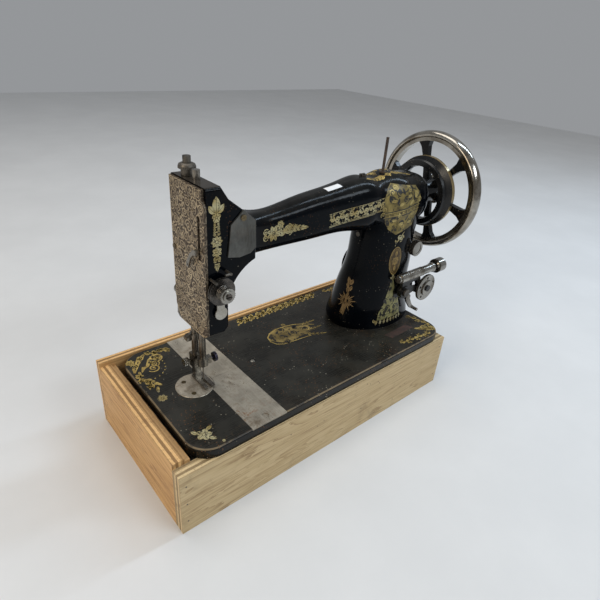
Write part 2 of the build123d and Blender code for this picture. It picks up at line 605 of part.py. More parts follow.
def make_presser_foot():
    """Shank clamped to the bar, and a sole with two toes either side of the needle."""
    shank = block(-132.6, -122.6, 8.6, 19.2, 13, 30)
    shank -= rod("z", 0, 60, BAR_R, (PRESSER_X, PRESSER_Y))
    shank += block(-131.4, -124.4, 9.5, 16.5, 2.0, 15.9)
    sole = block(-133.4, -121.4, -14, 15, 0.7, 2.9)
    sole = chamfer(sole.faces().sort_by(Axis.Y)[0].edges().group_by(Axis.Z)[0], 1.6)
    sole -= block(NEEDLE_X - 1.6, NEEDLE_X + 1.6, -20, 3.2, -2, 5)
    foot = shank + sole
    screw_z = 22.5
    foot -= rod("x", -140, PRESSER_X, 1.8 + RUNNING_CLEARANCE, (PRESSER_Y, screw_z))
    save_head("presser_foot", foot)
    screw = rod("x", -138, PRESSER_X - BAR_R, 1.8, (PRESSER_Y, screw_z))
    screw += knurled("x", -142, -136.5, 4.3, (PRESSER_Y, screw_z), teeth=18, depth=0.35)
    save_head("presser_foot_screw", screw)


def make_lifter():
    """Eccentric inside the head and a hanging handle behind it."""
    lever = rod("y", 20, 34, 2.5, (LIFTER_X, LIFTER_Z))
    lever += rod("y", 20, 24.6, LIFTER_LOBE_R, (LIFTER_X + LIFTER_THROW, LIFTER_Z))
    lever += block(LIFTER_X, LIFTER_X + LIFTER_THROW, 20, 24.6, LIFTER_Z - 2.5, LIFTER_Z + 2.5)
    lever += rod("y", 31, 35, 6.0, (LIFTER_X, LIFTER_Z))
    handle = [(-137, 100), (-126, 100), (-128, 84), (-126.5, 71), (-129, 66), (-133, 66), (-135, 72),
              (-134, 86)]
    lever += plate_xz(handle, 35, 31.5)
    save_head("presser_lifter", lever)


# ---------------------------------------------------------------- tension
def make_tension():
    """Post, two dished discs, conical spring and thumb nut, with the slack thread regulator behind."""
    place = (TENSION_X, TENSION_Z)
    post = rod("y", -26, -48.8, TENSION_POST_R, place)
    post -= block(-140, -100, -50, -46.5, TENSION_Z - 0.6, TENSION_Z + 0.6)
    post += rod("y", -30, -32.0, 10.5, place)
    save_head("tension_post", post)
    discs = []
    for sign, seat in ((1, -35.3), (-1, -35.6)):
        profile = [(seat, 0), (seat, 8.5), (seat + sign * 1.0, 13.2), (seat + sign * 1.7, 13.2),
                   (seat + sign * 0.7, 8.2), (seat + sign * 0.7, 0)]
        discs.append(turned("y", profile, place) - rod("y", -60, -20, TENSION_POST_R + 0.3, place))
    save_head("tension_discs", Compound(children=discs))
    path = Helix(pitch=1.8, height=5.4, radius=6.6, cone_angle=-8)
    wire = sweep(Plane(origin=path @ 0, z_dir=path % 0) * Circle(0.55), path)
    save_head("tension_spring", Pos(TENSION_X, -37.0, TENSION_Z) * Rot(90, 0, 0) * wire)
    nut = knurled("y", -43.4, -46.4, 7.6, place, teeth=24, depth=0.5) + rod("y", -46.4, -47.6, 5.4, place)
    nut -= rod("y", -40, -60, TENSION_POST_R + RUNNING_CLEARANCE, place)
    save_head("tension_nut", nut)
    plate = rod("y", -32.2, -33.2, 9.0, place) + rod("y", -32.2, -33.2, 6.4, (TENSION_X + 1, 100.5))
    plate += block(TENSION_X - 3.5, TENSION_X + 4.5, -33.2, -32.2, 104, 120)
    plate -= rod("y", -20, -60, TENSION_POST_R + 0.2, place)
    save_head("slack_thread_regulator", plate)


# ---------------------------------------------------------------- feed, rocker and shuttle
def make_feed():
    bar = block(FEED_BAR_X - 3, FEED_BAR_X + 3, -13, ROCK_Y, -14, -9)
    bar += rod("x", FEED_BAR_X - 3, FEED_BAR_X + 3, 5.0, (ROCK_Y, FEED_PIN_Z))
    bar -= rod("x", -150, -120, 2.6, (ROCK_Y, FEED_PIN_Z))
    bar += block(FEED_BAR_X, -122.6, -9, -2.5, -10, -6) + block(FEED_BAR_X, -122.6, 2.5, 9, -10, -6)
    save_head("feed_bar", bar)
    rows = []
    for x, reach in FEED_ROWS:
        row = block(x - FEED_ROW_W / 2, x + FEED_ROW_W / 2, -reach, reach, -6, -0.4)
        for i in range(int(reach)):
            row -= Pos(x, -reach + 1 + 2 * i, -0.1) * Rot(45, 0, 0) * Box(10, 1.0, 1.0)
        rows.append(row)
    save_head("feed_dog", Compound(children=rows))
    shaft = rod("x", -161, 95, 5.0, (ROCK_Y, ROCK_Z))
    for end, inward in ((-161.0, 1), (95.0, -1)):
        shaft -= turned("x", [(end, 0), (end, 3.1), (end + inward * 4, 0)], (ROCK_Y, ROCK_Z))
    shaft += block(FEED_BAR_X + 3.5, FEED_BAR_X + 8.5, ROCK_Y - 4, ROCK_Y + 4, ROCK_Z, -13)
    shaft += rod("x", FEED_BAR_X + 8.5, FEED_BAR_X - 3, 2.0, (ROCK_Y, FEED_PIN_Z))
    shaft += rod("x", FEED_BAR_X + 3.5, FEED_BAR_X + 8.5, 4.0, (ROCK_Y, -12.6))
    save_head("feed_rock_shaft", shaft)
    screws = []
    for x0, x1 in ROCK_SHAFT_LUGS:
        outer, inner = (x0 - 3, x1) if x0 < 0 else (x1 + 3, x0)
        inward = 1 if x0 < 0 else -1
        body = [(outer, 0), (outer, 4.0), (inner, 4.0)]
        point = [(inner + inward * 0.6, 2.6), (inner + inward * 3.9, 0)]
        screws.append(turned("x", body + point, (ROCK_Y, ROCK_Z)))
    return screws


def make_rocker():
    """Lever in the pillar: a fork about the shaft's cam above, a finger in the long lever's tail below."""
    bottom = -27.0
    pivot = ROCKER_PIVOT_Z
    lever = block(ROCKER_X - 3, ROCKER_X + 3, -5, 5, 4, pivot)
    lever += block(ROCKER_X - 3, ROCKER_X + 3, -3, 3, bottom, 5)
    lever += rod("x", ROCKER_X - 5, ROCKER_X + 5, 9, (0, pivot))
    lever += block(ROCKER_X - 3, ROCKER_X + 3, -17.2, 17.2, pivot + 6, pivot + 14)
    for sign in (-1, 1):
        lever += block(ROCKER_X - 3, ROCKER_X + 3, sign * 14.8, sign * 17.2, pivot + 6, SHAFT_Z + 8)
    lever -= rod("x", ROCKER_X - 10, ROCKER_X + 10, 3.0 + RUNNING_CLEARANCE, (0, pivot))
    swing = TAIL_ARM * math.sin(math.radians(LEVER_REST_DEG)) / (pivot - LEVER_Z)
    lean = Pos(0, 0, pivot) * Rot(math.degrees(math.asin(swing)), 0, 0) * Pos(0, 0, -pivot)
    save_head("rocker_lever", lean * lever)
    inner_end = ROCKER_X + 5.5
    return rod("x", 88, inner_end, 3.0, (0, pivot)) + rod("x", inner_end, inner_end + 2.5, 5.5, (0, pivot))


def make_vibrating_lever():
    """Long lever that swings about a stud under the bed and carries the shuttle; drawn at its rest angle."""
    tilt = Pos(PIVOT_X, 0, 0) * Rot(0, 0, LEVER_REST_DEG)
    low, high = LEVER_Z - 2, LEVER_Z + 2
    bar = block(-SHUTTLE_ARM + 4, TAIL_ARM - 14, -5, 5, low, high)
    bar += rod("z", -24, -9, 9, (0, 0)) + block(TAIL_ARM - 16, TAIL_ARM - 9, -9.5, 9.5, low, high)
    for sign in (-1, 1):
        bar += block(TAIL_ARM - 10, TAIL_ARM + 10, sign * 5.2, sign * 9.5, low, high)
    bar -= rod("z", -40, 0, 4.0 + RUNNING_CLEARANCE, (0, 0))
    save_head("vibrating_lever", tilt * bar)
    cradle = block(-6, 6, -24, 24, -18, -15) + block(4.8, 6, -24, 24, -15, -9.5)
    for sign in (-1, 1):
        cradle += block(-6, 6, sign * 22.6, sign * 24, -15, -9.5)
    centre = Pos(-SHUTTLE_ARM, 0, 0)
    save_head("shuttle_carrier", tilt * centre * cradle)
    sections = []
    for y, r in ((-21.5, 1.0), (-17, 3.3), (-9, 4.5), (21, 4.5)):
        sections.append(Plane(origin=(-0.3, y, -10.2), z_dir=(0, 1, 0)) * Circle(r))
    shuttle = loft(sections, ruled=True)
    shuttle -= rod("y", -13.5, 22, 3.1, (-0.3, -10.2))
    shuttle -= block(-2.1, 1.5, -10, 16, -8.5, -4)
    save_head("shuttle", tilt * centre * shuttle)
    bobbin = rod("y", -12.9, 19.5, 0.8, (-0.3, -10.2))
    for y in (-12.0, 17.5):
        bobbin += rod("y", y, y + 0.8, 2.7, (-0.3, -10.2))
    save_head("bobbin", tilt * centre * bobbin)
    stud = rod("z", 0, -26.5, 4.0, (PIVOT_X, 0)) + rod("z", -24.3, -28, 7.0, (PIVOT_X, 0))
    return stud & block(0, 120, -20, 20, -40, -2.5)


# ---------------------------------------------------------------- stitch regulator, spool pin
def make_fittings():
    """Stitch-length screw, spool pin and the thread guides on the arm's top and by the tension."""
    place = (REGULATOR_X, REGULATOR_Z)
    screw = rod("y", -18, -30, 3.0, place) + rod("y", -28.6, -31, 6.5, place)
    screw += knurled("y", -31, -38, 10, place, teeth=36, depth=0.5)
    screw -= rod("y", -37.4, -40, 6.5, place)
    save_head("stitch_regulator", screw)
    pin = rod("z", 188, 236, 1.7, (SPOOL_X, 0)) + rod("z", SPOOL_SEAT_Z, 197.9, 4.0, (SPOOL_X, 0))
    save_head("spool_pin", pin)
    ring = rod("z", 188, 196, 1.5, (RING_X, 0)) + rod("z", RING_SEAT_Z, 198, 3.6, (RING_X, 0))
    ring -= rod("z", 196.8, 199, 2.2, (RING_X, 0))
    ring += rod("z", 188, 199.4, 0.9, (RING_WIRE_X, 0))
    ring += rod("x", RING_WIRE_X - 0.9, RING_X + 1.5, 0.9, (0, 198.5))
    near_nut = rod("y", -30, -39, 1.3, (-117.5, 141.5)) + rod("x", -117.5, -123, 1.2, (-38, 141.5))
    by_face = rod("y", -30, -41, 1.3, (-133.6, 137.0))
    save_head("thread_guides", Compound(children=[ring, near_nut, by_face]))


# ---------------------------------------------------------------- bobbin winder
def make_winder():
    """Bracket on the pillar, swinging frame, spindle with worm and cup, cam wheel and thread guide."""
    pivot_x, pivot_z = WINDER_PIVOT
    bracket = rod("y", -36.5, -31, 11, WINDER_PIVOT) + rod("y", -39.4, -31, 6.0, WINDER_PIVOT)
    bracket += block(pivot_x - 10, pivot_x + 18, -36.5, -24, pivot_z - 9, pivot_z + 9)
    bracket += rod("y", -36.5, -24, 9, (pivot_x + 18, pivot_z))
    bracket -= pillar_body(-0.05)
    bracket -= rod("y", -60, 0, WINDER_PIN_R, WINDER_PIVOT)
    save_head("winder_bracket", bracket)

    axis = (WINDER_Y, WINDER_Z)
    frame = rod("x", 130, 174, 6.0, axis)
    frame += rod("x", 126, 130, 4.6, axis)
    web = [(135, 68), (170, 68), (178, 46), (188, 42), (186, 36), (177, 37), (160, 46), (146, 42), (137, 43)]
    frame += plate_xz(web, WINDER_Y - 2.2 + 4.5, WINDER_Y - 2.2)
    frame += rod("y", WINDER_Y + 3.3, WINDER_Y - 3.5, 8.5, WINDER_PIVOT)
    frame -= plate_xz([(150, 60), (164, 62), (169, 52), (157, 53)], -60, -20)
    hub = (WORM_WHEEL_X, WHEEL_CENTRE_Z)
    frame += rod("y", WINDER_Y + 2.3, WINDER_Y - 2.2, 6.0, hub)
    frame -= rod("y", WINDER_Y - 2.8, WINDER_Y - 9, WORM_WHEEL_R + 0.6, hub)
    frame -= rod("x", 128, 190, SPINDLE_R + RUNNING_CLEARANCE, axis)
    frame -= rod("y", -60, -20, WINDER_PIN_R + RUNNING_CLEARANCE, WINDER_PIVOT)
    frame += rod("y", WINDER_Y + 2.0, WINDER_Y - 8.4, SPINDLE_R, hub)
    frame += rod("y", WINDER_Y - 8.4, WINDER_Y - 10, 4.2, hub)
    save_head("winder_frame", frame)

    spindle = rod("x", 129, 206, SPINDLE_R, axis)
    spindle += turned("x", [(175, 0), (175, 5.4), (178.5, 5.4), (178.5, WORM_R), (193, WORM_R), (194.5, 6.4),
                            (197, 6.4), (199, 3.4), (206, 3.4), (207.5, 5.6), (211, 2.0), (211, 0)], axis)
    save_head("winder_spindle", spindle)
    cup = tube("x", 204.0, 214.5, 9.5, 7.4, axis) + rod("x", 212.6, 216.5, 9.5, axis)
    cup -= rod("x", 200, 211.2, 2.2, axis)
    save_head("winder_pulley", cup)

    wheel = knurled("y", WINDER_Y - 3.0, WINDER_Y - 6.4, WORM_WHEEL_R, hub, teeth=48, depth=0.7)
    wheel += rod("y", WINDER_Y - 6.0, WINDER_Y - 8.2, 11.0, (WORM_WHEEL_X + 2.0, WHEEL_CENTRE_Z - 1.0))
    for i in range(5):
        turn = math.radians(72 * i + 20)
        hole = (WORM_WHEEL_X + 14.2 * math.cos(turn), WHEEL_CENTRE_Z + 14.2 * math.sin(turn))
        wheel -= rod("y", WINDER_Y, WINDER_Y - 20, 1.8, hole)
    wheel -= rod("y", WINDER_Y, WINDER_Y - 20, SPINDLE_R + RUNNING_CLEARANCE, hub)
    save_head("winder_cam_wheel", wheel)

    guide = rod("y", WINDER_Y + 6.2, WINDER_Y + 3.0, 4.5, GUIDE_PIVOT)
    arm = [(158, 33), (165, 33), (173, 20), (183, 11), (181, 8.5), (170, 15), (160, 27)]
    guide += plate_xz(arm, WINDER_Y + 6.2, WINDER_Y + 3.8)
    guide += rod("y", WINDER_Y + 6.2, WINDER_Y - 1.0, 2.2, (181.5, 10.5))
    save_head("winder_thread_guide", guide)
    pin = rod("y", -49.5, -30, WINDER_PIN_R, WINDER_PIVOT)
    return pin + rod("y", -49.5, -47, 2 * WINDER_PIN_R, WINDER_PIVOT)


def main():
    os.makedirs("parts", exist_ok=True)
    make_box()
    make_bed()
    make_slides()
    screws = make_needle_plate()
    make_casting()
    frame_screws = make_arm_bolts()
    screws += make_face_plate()
    screws += make_covers()
    save_head("cover_screws", Compound(children=screws))
    make_shaft()
    make_handwheel()
    make_needle_bar()
    frame_screws.append(make_take_up())
    make_presser()
    make_presser_foot()
    make_lifter()
    make_tension()
    frame_screws += make_feed()
    frame_screws.append(make_rocker())
    frame_screws.append(make_vibrating_lever())
    frame_screws.append(make_winder())
    save_head("frame_screws", Compound(children=frame_screws))
    make_fittings()


main()
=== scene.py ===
"""Looks for the household sewing machine on its plywood base box.

Everything is in the row frame, in metres.  head() takes millimetres in the machine's own frame,
whose origin is the centre of the bed's top face.
"""
import math
import random

import bpy
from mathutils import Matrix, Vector
from mathutils.bvhtree import BVHTree


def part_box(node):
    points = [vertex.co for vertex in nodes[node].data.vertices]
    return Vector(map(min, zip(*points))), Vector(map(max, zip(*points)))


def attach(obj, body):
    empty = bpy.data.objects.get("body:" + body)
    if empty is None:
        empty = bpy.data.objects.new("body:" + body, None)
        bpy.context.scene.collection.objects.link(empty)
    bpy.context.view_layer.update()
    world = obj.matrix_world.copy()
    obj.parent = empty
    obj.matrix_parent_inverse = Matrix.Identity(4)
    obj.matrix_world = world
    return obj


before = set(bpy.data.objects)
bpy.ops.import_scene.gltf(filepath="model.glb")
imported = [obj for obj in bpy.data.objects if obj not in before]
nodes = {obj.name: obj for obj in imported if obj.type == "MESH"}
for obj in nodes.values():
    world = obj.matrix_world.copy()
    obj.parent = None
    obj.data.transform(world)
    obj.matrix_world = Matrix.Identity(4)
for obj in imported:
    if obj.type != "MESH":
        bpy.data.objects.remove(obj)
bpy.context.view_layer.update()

MM = 0.001
BED_CENTRE = Vector((-0.01675, -0.004, 0.0846))     # the head frame's origin in the row frame
SHAFT_Y = BED_CENTRE.y
SHAFT_Z = BED_CENTRE.z + 0.162
STUDIO_TINT = (0.93, 0.96, 1.0, 1)
STUDIO_STRENGTH = 0.32
FLOOR_HALF = 3          # half the floor's side, m


def head(x, y, z):
    """Head-frame millimetres to row-frame metres."""
    return BED_CENTRE + Vector((x, y, z)) * MM


# ------------------------------------------------------------------ camera, world and lights
scene = bpy.context.scene
camera = bpy.data.objects.new("camera", bpy.data.cameras.new("camera"))
scene.collection.objects.link(camera)
scene.camera = camera
camera.location = (-0.3423, -0.3624, 0.4156)
camera.rotation_euler = [math.radians(a) for a in (60.775, -3.990, -40.231)]
camera.data.sensor_width = 36.0
camera.data.lens = 28.57
camera.data.clip_start = 0.01

scene.view_settings.view_transform = "Standard"

world = bpy.data.worlds.new("studio")
world.use_nodes = True
background = world.node_tree.nodes["Background"]
background.inputs["Color"].default_value = STUDIO_TINT
background.inputs["Strength"].default_value = STUDIO_STRENGTH
scene.world = world


def area_light(name, place, target, size, power, colour):
    """Soft rectangular light at place, in metres, aimed at target."""
    data = bpy.data.lights.new(name, "AREA")
    data.shape = "RECTANGLE"
    data.size, data.size_y = size
    data.energy = power
    data.color = colour
    light = bpy.data.objects.new(name, data)
    scene.collection.objects.link(light)
    light.location = place
    light.rotation_euler = (Vector(target) - Vector(place)).to_track_quat("-Z", "Y").to_euler()


area_light("cool_window", (0.7, -1.7, 1.5), (0, 0, 0.12), (1.3, 0.45), 20, (0.80, 0.90, 1.0))
area_light("warm_room", (-1.7, -0.2, 1.1), (0, 0, 0.12), (0.9, 1.1), 14, (1.0, 0.88, 0.72))
area_light("arm_strip", (1.08, -0.19, 1.43), (0, -0.02, 0.26), (0.12, 1.2), 9, (0.66, 0.82, 1.0))
area_light("top_light", (-0.1, 0.5, 2.0), (0, 0, 0.1), (1.2, 1.2), 12, (1.0, 0.96, 0.91))


# ------------------------------------------------------------------ material building
COLOUR_A, COLOUR_B, COLOUR_OUT = 6, 7, 2        # the Mix node's colour sockets


class Shader:
    """One Principled material; its methods add nodes and return output sockets."""

    def __init__(self, name):
        self.mat = bpy.data.materials.new(name)
        self.mat.use_nodes = True
        self.tree = self.mat.node_tree
        self.bsdf = self.tree.nodes["Principled BSDF"]
        self.place = self.tree.nodes.new("ShaderNodeTexCoord").outputs["Object"]
        self.normal = self.tree.nodes.new("ShaderNodeNewGeometry").outputs["Normal"]

    def feed(self, socket, value):
        """Link an output to socket, or set socket's own value."""
        if isinstance(value, bpy.types.NodeSocket):
            self.tree.links.new(value, socket)
        elif isinstance(value, (tuple, list)) and socket.type == "RGBA":
            socket.default_value = (*value[:3], 1.0)
        else:
            socket.default_value = value

    def math(self, operation, a, b=0.0, clamp=False):
        n = self.tree.nodes.new("ShaderNodeMath")
        n.operation = operation
        n.use_clamp = clamp
        self.feed(n.inputs[0], a)
        self.feed(n.inputs[1], b)
        return n.outputs[0]

    def mul(self, *factors):
        """Product of outputs and numbers."""
        out = factors[0]
        for f in factors[1:]:
            out = self.math("MULTIPLY", out, f)
        return out

    def span(self, value, low, high, to_low=0.0, to_high=1.0):
        """Smooth step of value from low to high."""
        n = self.tree.nodes.new("ShaderNodeMapRange")
        n.interpolation_type = "SMOOTHSTEP"
        self.feed(n.inputs["Value"], value)
        for key, number in (("From Min", low), ("From Max", high),
                            ("To Min", to_low), ("To Max", to_high)):
            n.inputs[key].default_value = number
        return n.outputs["Result"]

    def mix(self, factor, a, b):
        """Colour a, turning into b as factor rises to 1."""
        n = self.tree.nodes.new("ShaderNodeMix")
        n.data_type = "RGBA"
        self.feed(n.inputs["Factor"], factor)
        self.feed(n.inputs[COLOUR_A], a)
        self.feed(n.inputs[COLOUR_B], b)
        return n.outputs[COLOUR_OUT]

    def stretched(self, x, y, z):
        """Object coordinates scaled by axis, for grain."""
        n = self.tree.nodes.new("ShaderNodeMapping")
        self.feed(n.inputs["Vector"], self.place)
        n.inputs["Scale"].default_value = (x, y, z)
        return n.outputs[0]

    def parts(self, vector):
        """The x, y and z of a vector."""
        n = self.tree.nodes.new("ShaderNodeSeparateXYZ")
        self.feed(n.inputs[0], vector)
        return n.outputs

    def noise(self, scale, detail, rough=0.55, vector=None, distortion=0.0):
        n = self.tree.nodes.new("ShaderNodeTexNoise")
        self.feed(n.inputs["Vector"], vector or self.place)
        n.inputs["Scale"].default_value = scale
        n.inputs["Detail"].default_value = detail
        n.inputs["Roughness"].default_value = rough
        n.inputs["Distortion"].default_value = distortion
        return n.outputs["Fac"]

    def cells(self, scale, vector=None):
        """Distance to the nearest of many scattered points."""
        n = self.tree.nodes.new("ShaderNodeTexVoronoi")
        self.feed(n.inputs["Vector"], vector or self.place)
        n.inputs["Scale"].default_value = scale
        return n.outputs["Distance"]

    def specks(self, scale, size):
        """1 inside small scattered dots."""
        return self.span(self.cells(scale), size, size * 0.6, 0.0, 1.0)

    def bump(self, height, strength, distance=0.001):
        n = self.tree.nodes.new("ShaderNodeBump")
        n.inputs["Strength"].default_value = strength
        n.inputs["Distance"].default_value = distance
        self.feed(n.inputs["Height"], height)
        self.feed(self.bsdf.inputs["Normal"], n.outputs[0])

    def done(self, colour, rough, metallic=0.0, shine=0.5):
        """Feed the shader and return the finished material."""
        self.feed(self.bsdf.inputs["Base Color"], colour)
        self.feed(self.bsdf.inputs["Roughness"], rough)
        self.feed(self.bsdf.inputs["Metallic"], metallic)
        self.bsdf.inputs["Specular IOR Level"].default_value = shine
        return self.mat


# ------------------------------------------------------------------ black japan
DUST = (0.075, 0.070, 0.056)
HEAD_TOP_DUST = (0.040, 0.033, 0.026)
OIL_STAIN = (0.040, 0.027, 0.015)
PALE_CHIP = (0.36, 0.32, 0.24)
RUSTY_CHIP = (0.17, 0.075, 0.028)
SMALL_CHIP = (0.20, 0.17, 0.13)
WORN_PATCH = (0.035, 0.020, 0.011)
RUST_CRUMB = (0.11, 0.070, 0.036)
# Colours of the bed's top-edge line: partly rubbed wear, partly painted highlight.
EDGE_WEAR_AND_HIGHLIGHT = (0.27, 0.205, 0.115)
EDGE_WEAR_AND_HIGHLIGHT_DARK = (0.085, 0.055, 0.030)


def japan(name, dust, gloss, specks, shine, tint, bed_wear_and_edge_highlight=False):
    """Old black stoving enamel: glossy sides, dusty top faces and chips.

    dust and specks are amounts, gloss is the lowest roughness, shine the specular level and tint
    the black's colour; the arm's blue cast in it is painted cool sheen.  The bed flag adds the
    bed's top-edge line, partly rubbed wear and partly painted highlight on its rounded edge, and
    rusty patches; without it the top of the head is dusty.
    """
    s = Shader(name)
    x, y, z = s.parts(s.place)
    up = s.parts(s.normal)[2]
    cloud = s.noise(38, 6, 0.6)
    film = s.mul(s.span(up, 0.25, 0.97), s.span(cloud, 0.25, 0.75, 0.35, 1.0), dust)
    colour = s.mix(s.span(cloud, 0.3, 0.8), tint, [1.8 * c for c in tint])
    colour = s.mix(film, colour, DUST)
    stain = s.mul(s.span(s.noise(17, 5), 0.54, 0.70), 0.5 * dust)
    colour = s.mix(stain, colour, OIL_STAIN)
    pale = s.mul(s.specks(260, 0.17), s.span(s.noise(60, 3), 0.50, 0.62), specks)
    rusty = s.mul(s.specks(380, 0.22), s.span(s.noise(24, 3), 0.50, 0.62), specks)
    colour = s.mix(pale, colour, PALE_CHIP)
    colour = s.mix(rusty, colour, RUSTY_CHIP)
    if bed_wear_and_edge_highlight:
        top = s.span(z, BED_CENTRE.z - 0.0030, BED_CENTRE.z - 0.0022)
        # Top-edge line: partly rubbed wear, partly a painted highlight along the bed's rounded
        # edge.
        rim = s.mul(s.span(up, 0.45, 0.68), s.span(up, 0.994, 0.96), top)
        rim = s.mul(rim, s.span(s.noise(38, 6, 0.7), 0.40, 0.52, 0.12, 0.9))
        front = s.span(y, head(0, -66, 0).y, head(0, -90, 0).y)
        right = s.span(x, head(-20, 0, 0).x, head(110, 0, 0).x)
        field = s.math("ADD", s.mul(front, 0.35), s.mul(right, 0.30), True)
        field = s.mul(field, s.span(up, 0.6, 0.95))
        patches = s.mul(field, s.span(s.noise(46, 7, 0.72), 0.50, 0.60), 0.6)
        colour = s.mix(patches, colour, WORN_PATCH)
        crumbs = s.mul(field, s.span(s.noise(240, 5, 0.8), 0.57, 0.63), 0.9)
        colour = s.mix(crumbs, colour, RUST_CRUMB)
        # Colour the top-edge line as rubbed wear and painted highlight.
        colour = s.mix(rim, colour, s.mix(s.noise(120, 4), EDGE_WEAR_AND_HIGHLIGHT, EDGE_WEAR_AND_HIGHLIGHT_DARK))
        worn = s.math("MAXIMUM", rim, s.math("MAXIMUM", patches, crumbs))
    else:
        head_top = s.mul(s.span(x, head(-108, 0, 0).x, head(-118, 0, 0).x),
                         s.span(up, 0.80, 0.98), s.span(cloud, 0.30, 0.62, 0.55, 0.9))
        colour = s.mix(head_top, colour, HEAD_TOP_DUST)
        worn = 0.0
    scratch = s.noise(900, 2, 0.5, s.stretched(0.05, 1.0, 1.0))
    rough = s.math("ADD", s.mul(film, 0.40), s.span(scratch, 0.35, 0.8, gloss, gloss + 0.12))
    rough = s.math("ADD", rough, s.mul(worn, 0.25))
    ripple = s.mul(s.noise(130, 4), 0.5)
    lost = s.mul(s.math("MAXIMUM", pale, worn), 0.6)
    s.bump(s.math("SUBTRACT", ripple, lost), 0.12)
    return s.done(colour, rough, 0.0, shine)


# ------------------------------------------------------------------ metals
STEEL_RUST = (0.17, 0.085, 0.035)
STEEL_STAIN = (0.135, 0.095, 0.055)
STEEL_PIT = (0.060, 0.042, 0.028)
NICKEL_PIT = (0.06, 0.045, 0.03)


def steel(name, bright, dark, rough, grain=(1, 1, 1), rust=0.0, rust_end=None, metallic=0.85,
          stains=0.15):
    """Worn bare steel with grain lines, blotches and rust specks.

    rust_end is the pair of y, in metres, between which the rust grows to its full strength.
    """
    s = Shader(name)
    lines = s.noise(900, 3, 0.6, s.stretched(*grain))
    blotch = s.noise(46, 6, 0.65)
    colour = s.mix(s.span(blotch, 0.30, 0.72), dark, bright)
    glint = [min(1.0, 1.25 * c) for c in bright]
    colour = s.mix(s.mul(s.span(lines, 0.40, 0.75), 0.35), colour, glint)
    spots = 0.0
    if rust:
        area = s.span(s.noise(30, 5, 0.7), 0.50, 0.66)
        if rust_end is not None:
            toward_end = s.span(s.parts(s.place)[1], *rust_end)
            area = s.math("MULTIPLY", toward_end, s.math("ADD", area, 0.35), True)
        fine = s.span(s.noise(170, 5, 0.75), 0.50, 0.62)
        spots = s.mul(area, fine, rust)
        colour = s.mix(spots, colour, STEEL_RUST)
    mottle = s.mul(s.span(s.noise(210, 4, 0.7), 0.58, 0.70), 0.5)
    colour = s.mix(mottle, colour, dark)
    stain = s.mul(s.span(s.noise(24, 7, 0.75), 0.50, 0.66), stains)
    colour = s.mix(stain, colour, STEEL_STAIN)
    pits = s.mul(s.specks(420, 0.24), s.span(s.noise(75, 4, 0.7), 0.50, 0.60),
                 min(1.0, 2 * stains))
    colour = s.mix(pits, colour, STEEL_PIT)
    roughness = s.math("ADD", s.span(lines, 0.2, 0.8, rough - 0.07, rough + 0.10),
                       s.mul(spots, 0.3))
    s.bump(s.math("SUBTRACT", s.mul(lines, 0.4), s.mul(mottle, 0.7)), 0.12, 0.0004)
    metal = s.math("SUBTRACT", metallic, s.mul(spots, 0.6), True) if rust else metallic
    return s.done(colour, roughness, metal)


def nickel(name, clean, tarnished, gloss):
    """Nickel plate with brown tarnish clouds, pits and fine scratches."""
    s = Shader(name)
    cloud = s.noise(26, 5, 0.6)
    colour = s.mix(s.span(cloud, 0.42, 0.66), clean, tarnished)
    pits = s.mul(s.specks(700, 0.22), s.span(s.noise(50, 3), 0.50, 0.62))
    colour = s.mix(s.mul(pits, 0.8), colour, NICKEL_PIT)
    fine = s.noise(700, 2, 0.5)
    rough = s.math("ADD", s.span(fine, 0.3, 0.8, gloss, gloss + 0.12), s.mul(pits, 0.3))
    s.bump(s.mul(pits, -1.0), 0.15, 0.0003)
    return s.done(colour, rough, 0.92)


def winder_paint():
    """Winder frame: bright bearing tube above, black web below."""
    s = Shader("winder_paint")
    z = s.parts(s.place)[2]
    tube = s.span(z, head(0, 0, 64.2).z, head(0, 0, 65.4).z)
    cloud = s.noise(60, 5, 0.6)
    metal = s.mix(s.span(cloud, 0.40, 0.66), (0.36, 0.34, 0.30), (0.12, 0.10, 0.075))
    black = s.mix(s.span(cloud, 0.35, 0.75), (0.004, 0.0042, 0.0045), (0.016, 0.015, 0.013))
    chips = s.mul(s.specks(320, 0.2), s.span(s.noise(70, 3), 0.5, 0.6))
    black = s.mix(chips, black, SMALL_CHIP)
    s.bump(s.noise(200, 4), 0.1, 0.0004)
    colour = s.mix(tube, black, metal)
    return s.done(colour, s.span(cloud, 0.3, 0.8, 0.20, 0.36), s.mul(tube, 0.9), 0.3)


def pulley_paint():
    """Black belt pulley with a rubbed gold line round its outer edge."""
    s = Shader("pulley_paint")
    x, y, z = s.parts(s.place)
    across = s.math("SUBTRACT", y, SHAFT_Y)
    above = s.math("SUBTRACT", z, SHAFT_Z)
    radius = s.math("SQRT", s.math("ADD", s.mul(across, across), s.mul(above, above)))
    cloud = s.noise(40, 5, 0.6)
    colour = s.mix(s.span(cloud, 0.35, 0.75), (0.0035, 0.0042, 0.005), (0.014, 0.013, 0.012))
    chips = s.mul(s.specks(300, 0.20), s.span(s.noise(70, 3), 0.5, 0.6))
    colour = s.mix(chips, colour, SMALL_CHIP)
    start = head(203.5, 0, 0).x
    end = start + 0.0056
    soft = 0.0006           # the width over which each edge of the line fades, m
    ring = s.mul(s.span(x, start, start + soft), s.span(x, end, end - soft),
                 s.span(radius, 0.0412, 0.0412 + soft))
    band = s.mul(ring, s.span(s.noise(95, 6, 0.75), 0.42, 0.50))
    colour = s.mix(band, colour, s.mix(s.noise(200, 4), (0.40, 0.33, 0.17), (0.20, 0.125, 0.045)))
    s.bump(s.math("SUBTRACT", s.mul(s.noise(120, 3), 0.3), s.mul(band, 0.4)), 0.10, 0.0005)
    return s.done(colour, s.span(cloud, 0.3, 0.8, 0.18, 0.40), s.mul(band, 0.4), 0.4)


